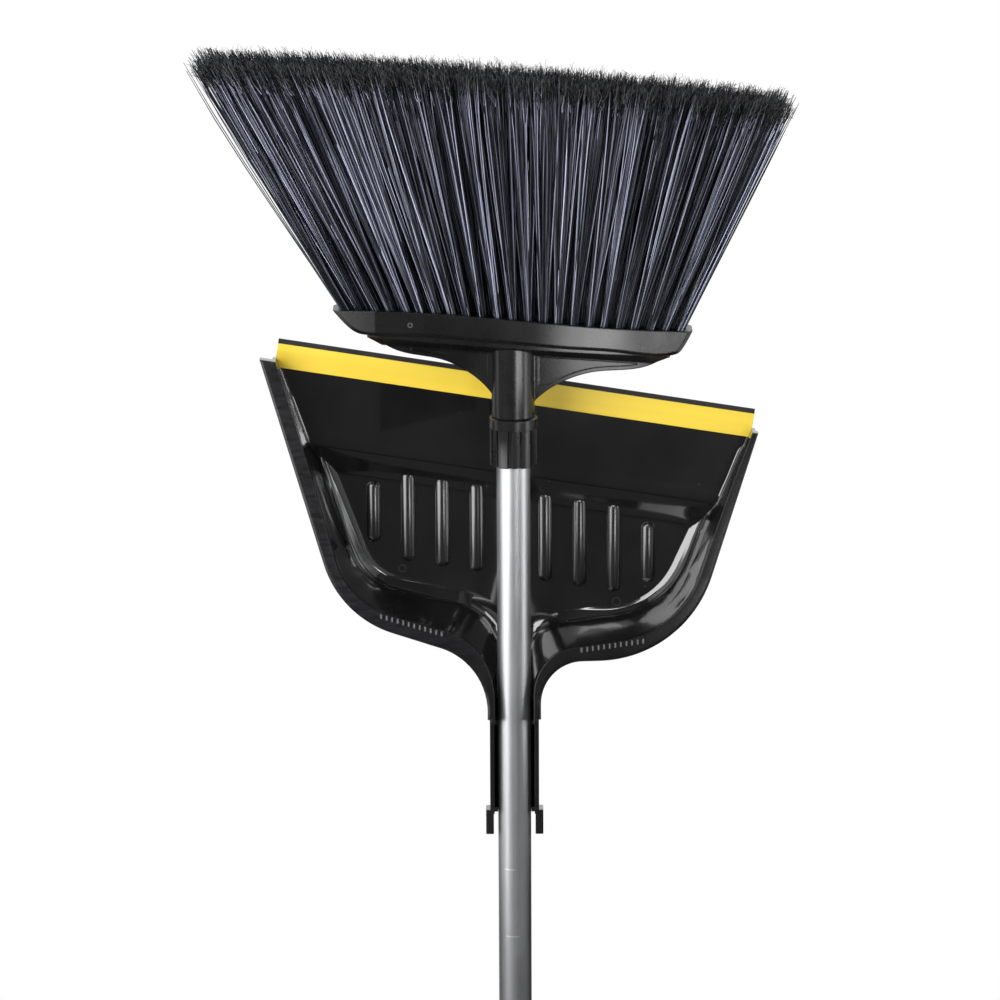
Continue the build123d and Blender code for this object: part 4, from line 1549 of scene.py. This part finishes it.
@dataclass
class Studio:
    """White studio: floor, world, soft lamps, dark cards and the camera of the photograph."""

    floor_z: float = -0.6085
    floor_radius: float = 1.85
    floor_sides: int = 96
    floor_colour: Colour = rgb(0.8, 0.8, 0.8)
    floor_roughness: float = 0.9
    floor_glow: Pair = (0.45, 1.0)
    pale_radius: float = 0.3
    white_share: float = 0.9
    card_gap: float = 0.002
    room: float = 0.08
    backdrop: float = 0.8
    room_span: Pair = (-0.3, 0.55)
    white_span: Pair = (-0.4, 0.1)
    aim: Triple = (-0.0089, 0.0, 0.5194)
    elevation: float = 14.0
    distance: float = 2.994
    focal_mm: float = 163.0
    sensor_mm: float = 36.0
    clip_end: float = 200.0
    roll: float = 0.27

    def lamps(self) -> tuple[Lamp, ...]:
        """The lamps: a wide key on the left, and weaker ones for the highlights.

        Returns:
            The lamps, in the order in which they are hung.
        """
        return (
            Lamp("key_left", (-1.38, -1.34, 0.93), (1.6, 2.1), 58.0),
            Lamp("wing_left", (-1.87, -0.33, 0.5), (0.9, 1.6), 5.0),
            Lamp("front_right", (0.75, -1.3, 0.75), (1.2, 1.2), 1.6),
            Lamp("low_right", (0.64, -1.66, 0.34), (0.3, 0.3), 3.0),
            Lamp("socket_shine", (0.064, -0.102, 0.607), (0.06, 0.07), 0.085, (0.0, 0.0, 0.63), True),
            Lamp("side_right", (1.75, -0.6, 0.75), (0.5, 1.6), 11.0),
            Lamp("high_front", (-0.1, -1.6, 2.1), (0.9, 0.5), 2.5),
        )

    def cards(self) -> tuple[Card, ...]:
        """The dark cards that stand around the object.

        Returns:
            The cards, in the order in which they are put up.
        """
        low = self.floor_z + self.card_gap
        below = ((-0.2, -0.35, 0.2), (0.2, -0.35, 0.2), (0.2, -0.02, 0.2), (-0.2, -0.02, 0.2))
        return (
            Card.upright("card_left", (-0.5, 0.9), (-0.5, -0.5), (low, 0.17)),
            Card.upright("card_front", (-0.5, -0.5), (0.3, -0.5), (low, 0.14)),
            Card.upright("card_right", (0.3, -0.5), (0.3, 0.9), (low, 0.3)),
            Card.upright("card_middle", (-0.42, -0.51), (0.42, -0.51), (0.1, 0.4), glow=self.room),
            Card.upright("card_socket", (-0.025, -0.08), (-0.09, -0.015), (0.545, 0.66), glow=0.03),
            Card("card_low", below, 0.1),
        )

    @staticmethod
    def seen(canvas: NodeCanvas) -> NodeSocket:
        """Whether a ray comes from the camera, a reflection or clear material.

        Args:
            canvas: The nodes of the material or the world.

        Returns:
            The answer's socket.
        """
        path = canvas.add("ShaderNodeLightPath").outputs
        mirrored = canvas.math("MAXIMUM", path["Is Glossy Ray"], path["Is Transmission Ray"])
        return canvas.math("MAXIMUM", path["Is Camera Ray"], mirrored)

    def floor(self) -> None:
        """A pale floor disc that keeps the object's shadow and turns white towards its rim."""
        shape = bmesh.new()
        bmesh.ops.create_circle(shape, cap_ends=True, segments=self.floor_sides, radius=self.floor_radius)
        mesh = bpy.data.meshes.new("studio_floor")
        shape.to_mesh(mesh)
        shape.free()
        for vertex in mesh.vertices:
            vertex.co.z = self.floor_z
        piece = bpy.data.objects.new("studio_floor", mesh)
        bpy.context.scene.collection.objects.link(piece)
        material, canvas, bsdf = node_material("studio_white")
        bsdf.inputs["Base Color"].default_value = self.floor_colour
        bsdf.inputs["Roughness"].default_value = self.floor_roughness
        place = canvas.add("ShaderNodeTexCoord").outputs["Object"]
        reach = canvas.vector("LENGTH", canvas.vector("MULTIPLY", place, (1.0, 1.0, 0.0)))
        rim = self.floor_radius * self.white_share
        white = canvas.span(reach, self.pale_radius, rim, *self.floor_glow)
        share = canvas.times(self.seen(canvas), white)
        glow = canvas.add("ShaderNodeEmission", {"Color": rgb(1.0, 1.0, 1.0), "Strength": 1.0})
        blend = canvas.add("ShaderNodeMixShader", {0: share, 1: bsdf.outputs[0], 2: glow.outputs[0]})
        out = next(n for n in material.node_tree.nodes if n.type == "OUTPUT_MATERIAL")
        canvas.link(blend.outputs[0], out.inputs["Surface"])
        mesh.materials.append(material)

    def world(self) -> None:
        """A white backdrop behind the object, and a dim room on the camera's side."""
        world = bpy.data.worlds.new("studio_world")
        bpy.context.scene.world = world
        world.use_nodes = True
        canvas = NodeCanvas(world.node_tree)
        back = next(n for n in world.node_tree.nodes if n.type == "BACKGROUND")
        _, depth, _ = canvas.axes(canvas.add("ShaderNodeTexCoord").outputs["Generated"])
        room = canvas.span(depth, *self.room_span, self.room, self.backdrop)
        white = canvas.times(self.seen(canvas), canvas.span(depth, *self.white_span))
        camera = canvas.add("ShaderNodeLightPath").outputs["Is Camera Ray"]
        level = canvas.math("MAXIMUM", canvas.math("MAXIMUM", room, white), camera)
        back.inputs["Color"].default_value = rgb(1.0, 1.0, 1.0)
        canvas.link(level, back.inputs["Strength"])

    def camera(self) -> None:
        """The photograph's camera."""
        data = bpy.data.cameras.new("studio_camera")
        data.lens = self.focal_mm
        data.sensor_width = self.sensor_mm
        data.clip_end = self.clip_end
        holder = bpy.data.objects.new("studio_camera", data)
        rise = math.radians(self.elevation)
        aim = Vector(self.aim)
        holder.location = aim + self.distance * Vector((0.0, -math.cos(rise), math.sin(rise)))
        turn = (aim - holder.location).to_track_quat("-Z", "Y")
        holder.rotation_euler = (turn @ Quaternion((0, 0, 1), math.radians(-self.roll))).to_euler()
        bpy.context.scene.collection.objects.link(holder)
        bpy.context.scene.camera = holder

    def build(self) -> None:
        """Set the whole studio up."""
        bpy.context.scene.view_settings.view_transform = "Standard"
        self.floor()
        self.world()
        for lamp in self.lamps():
            lamp.hang()
        for card in self.cards():
            card.stand()
        self.camera()


def main() -> None:
    """Build the broom's pieces, dress them and set the studio up."""
    logging.basicConfig(level=logging.INFO, format="%(message)s")
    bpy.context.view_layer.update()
    effects = SharedEffects()
    pin = RingMarks((((-0.0669, -0.0185, 0.6413), 0.0014),))
    head_plastic = MouldedPlastic("head_plastic", rings=pin).make(effects)
    collar = MouldedPlastic("collar_plastic", roughness=(0.25, 0.32), grain_strength=0.15, edge=0.0005)
    collar_plastic = collar.make(effects)
    finishes = {
        "handle_tube": SatinTube().make(effects),
        "tube_plug": collar_plastic,
        "hang_cap": collar_plastic,
        "lock_collar": collar_plastic,
        "head_block": head_plastic,
        "tuft_staples": DrawnWire().make(effects),
        "dustpan": TrayGloss().make(effects),
        "lip_strip": LipFilm().make(effects),
        "lip_edge": SoftRubber().make(effects),
    }
    mouldings = Mouldings()
    for node, material in finishes.items():
        mouldings.dress(node, material)
    inner_gloss = TrayGloss("tray_inner", edge=0.0).make(effects)
    rib_gloss = TrayGloss("tray_ribs", edge=0.0, inside_roughness=0.3, coat=0.75, coat_roughness=0.2)
    TrayRibs().build(rib_gloss.make(effects))
    TraySweep().build(inner_gloss)
    BristleField().build(StrandTree(Filament().make(effects)), head_plastic)
    Studio().build()
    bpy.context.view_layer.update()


if __name__ == "__main__":
    main()
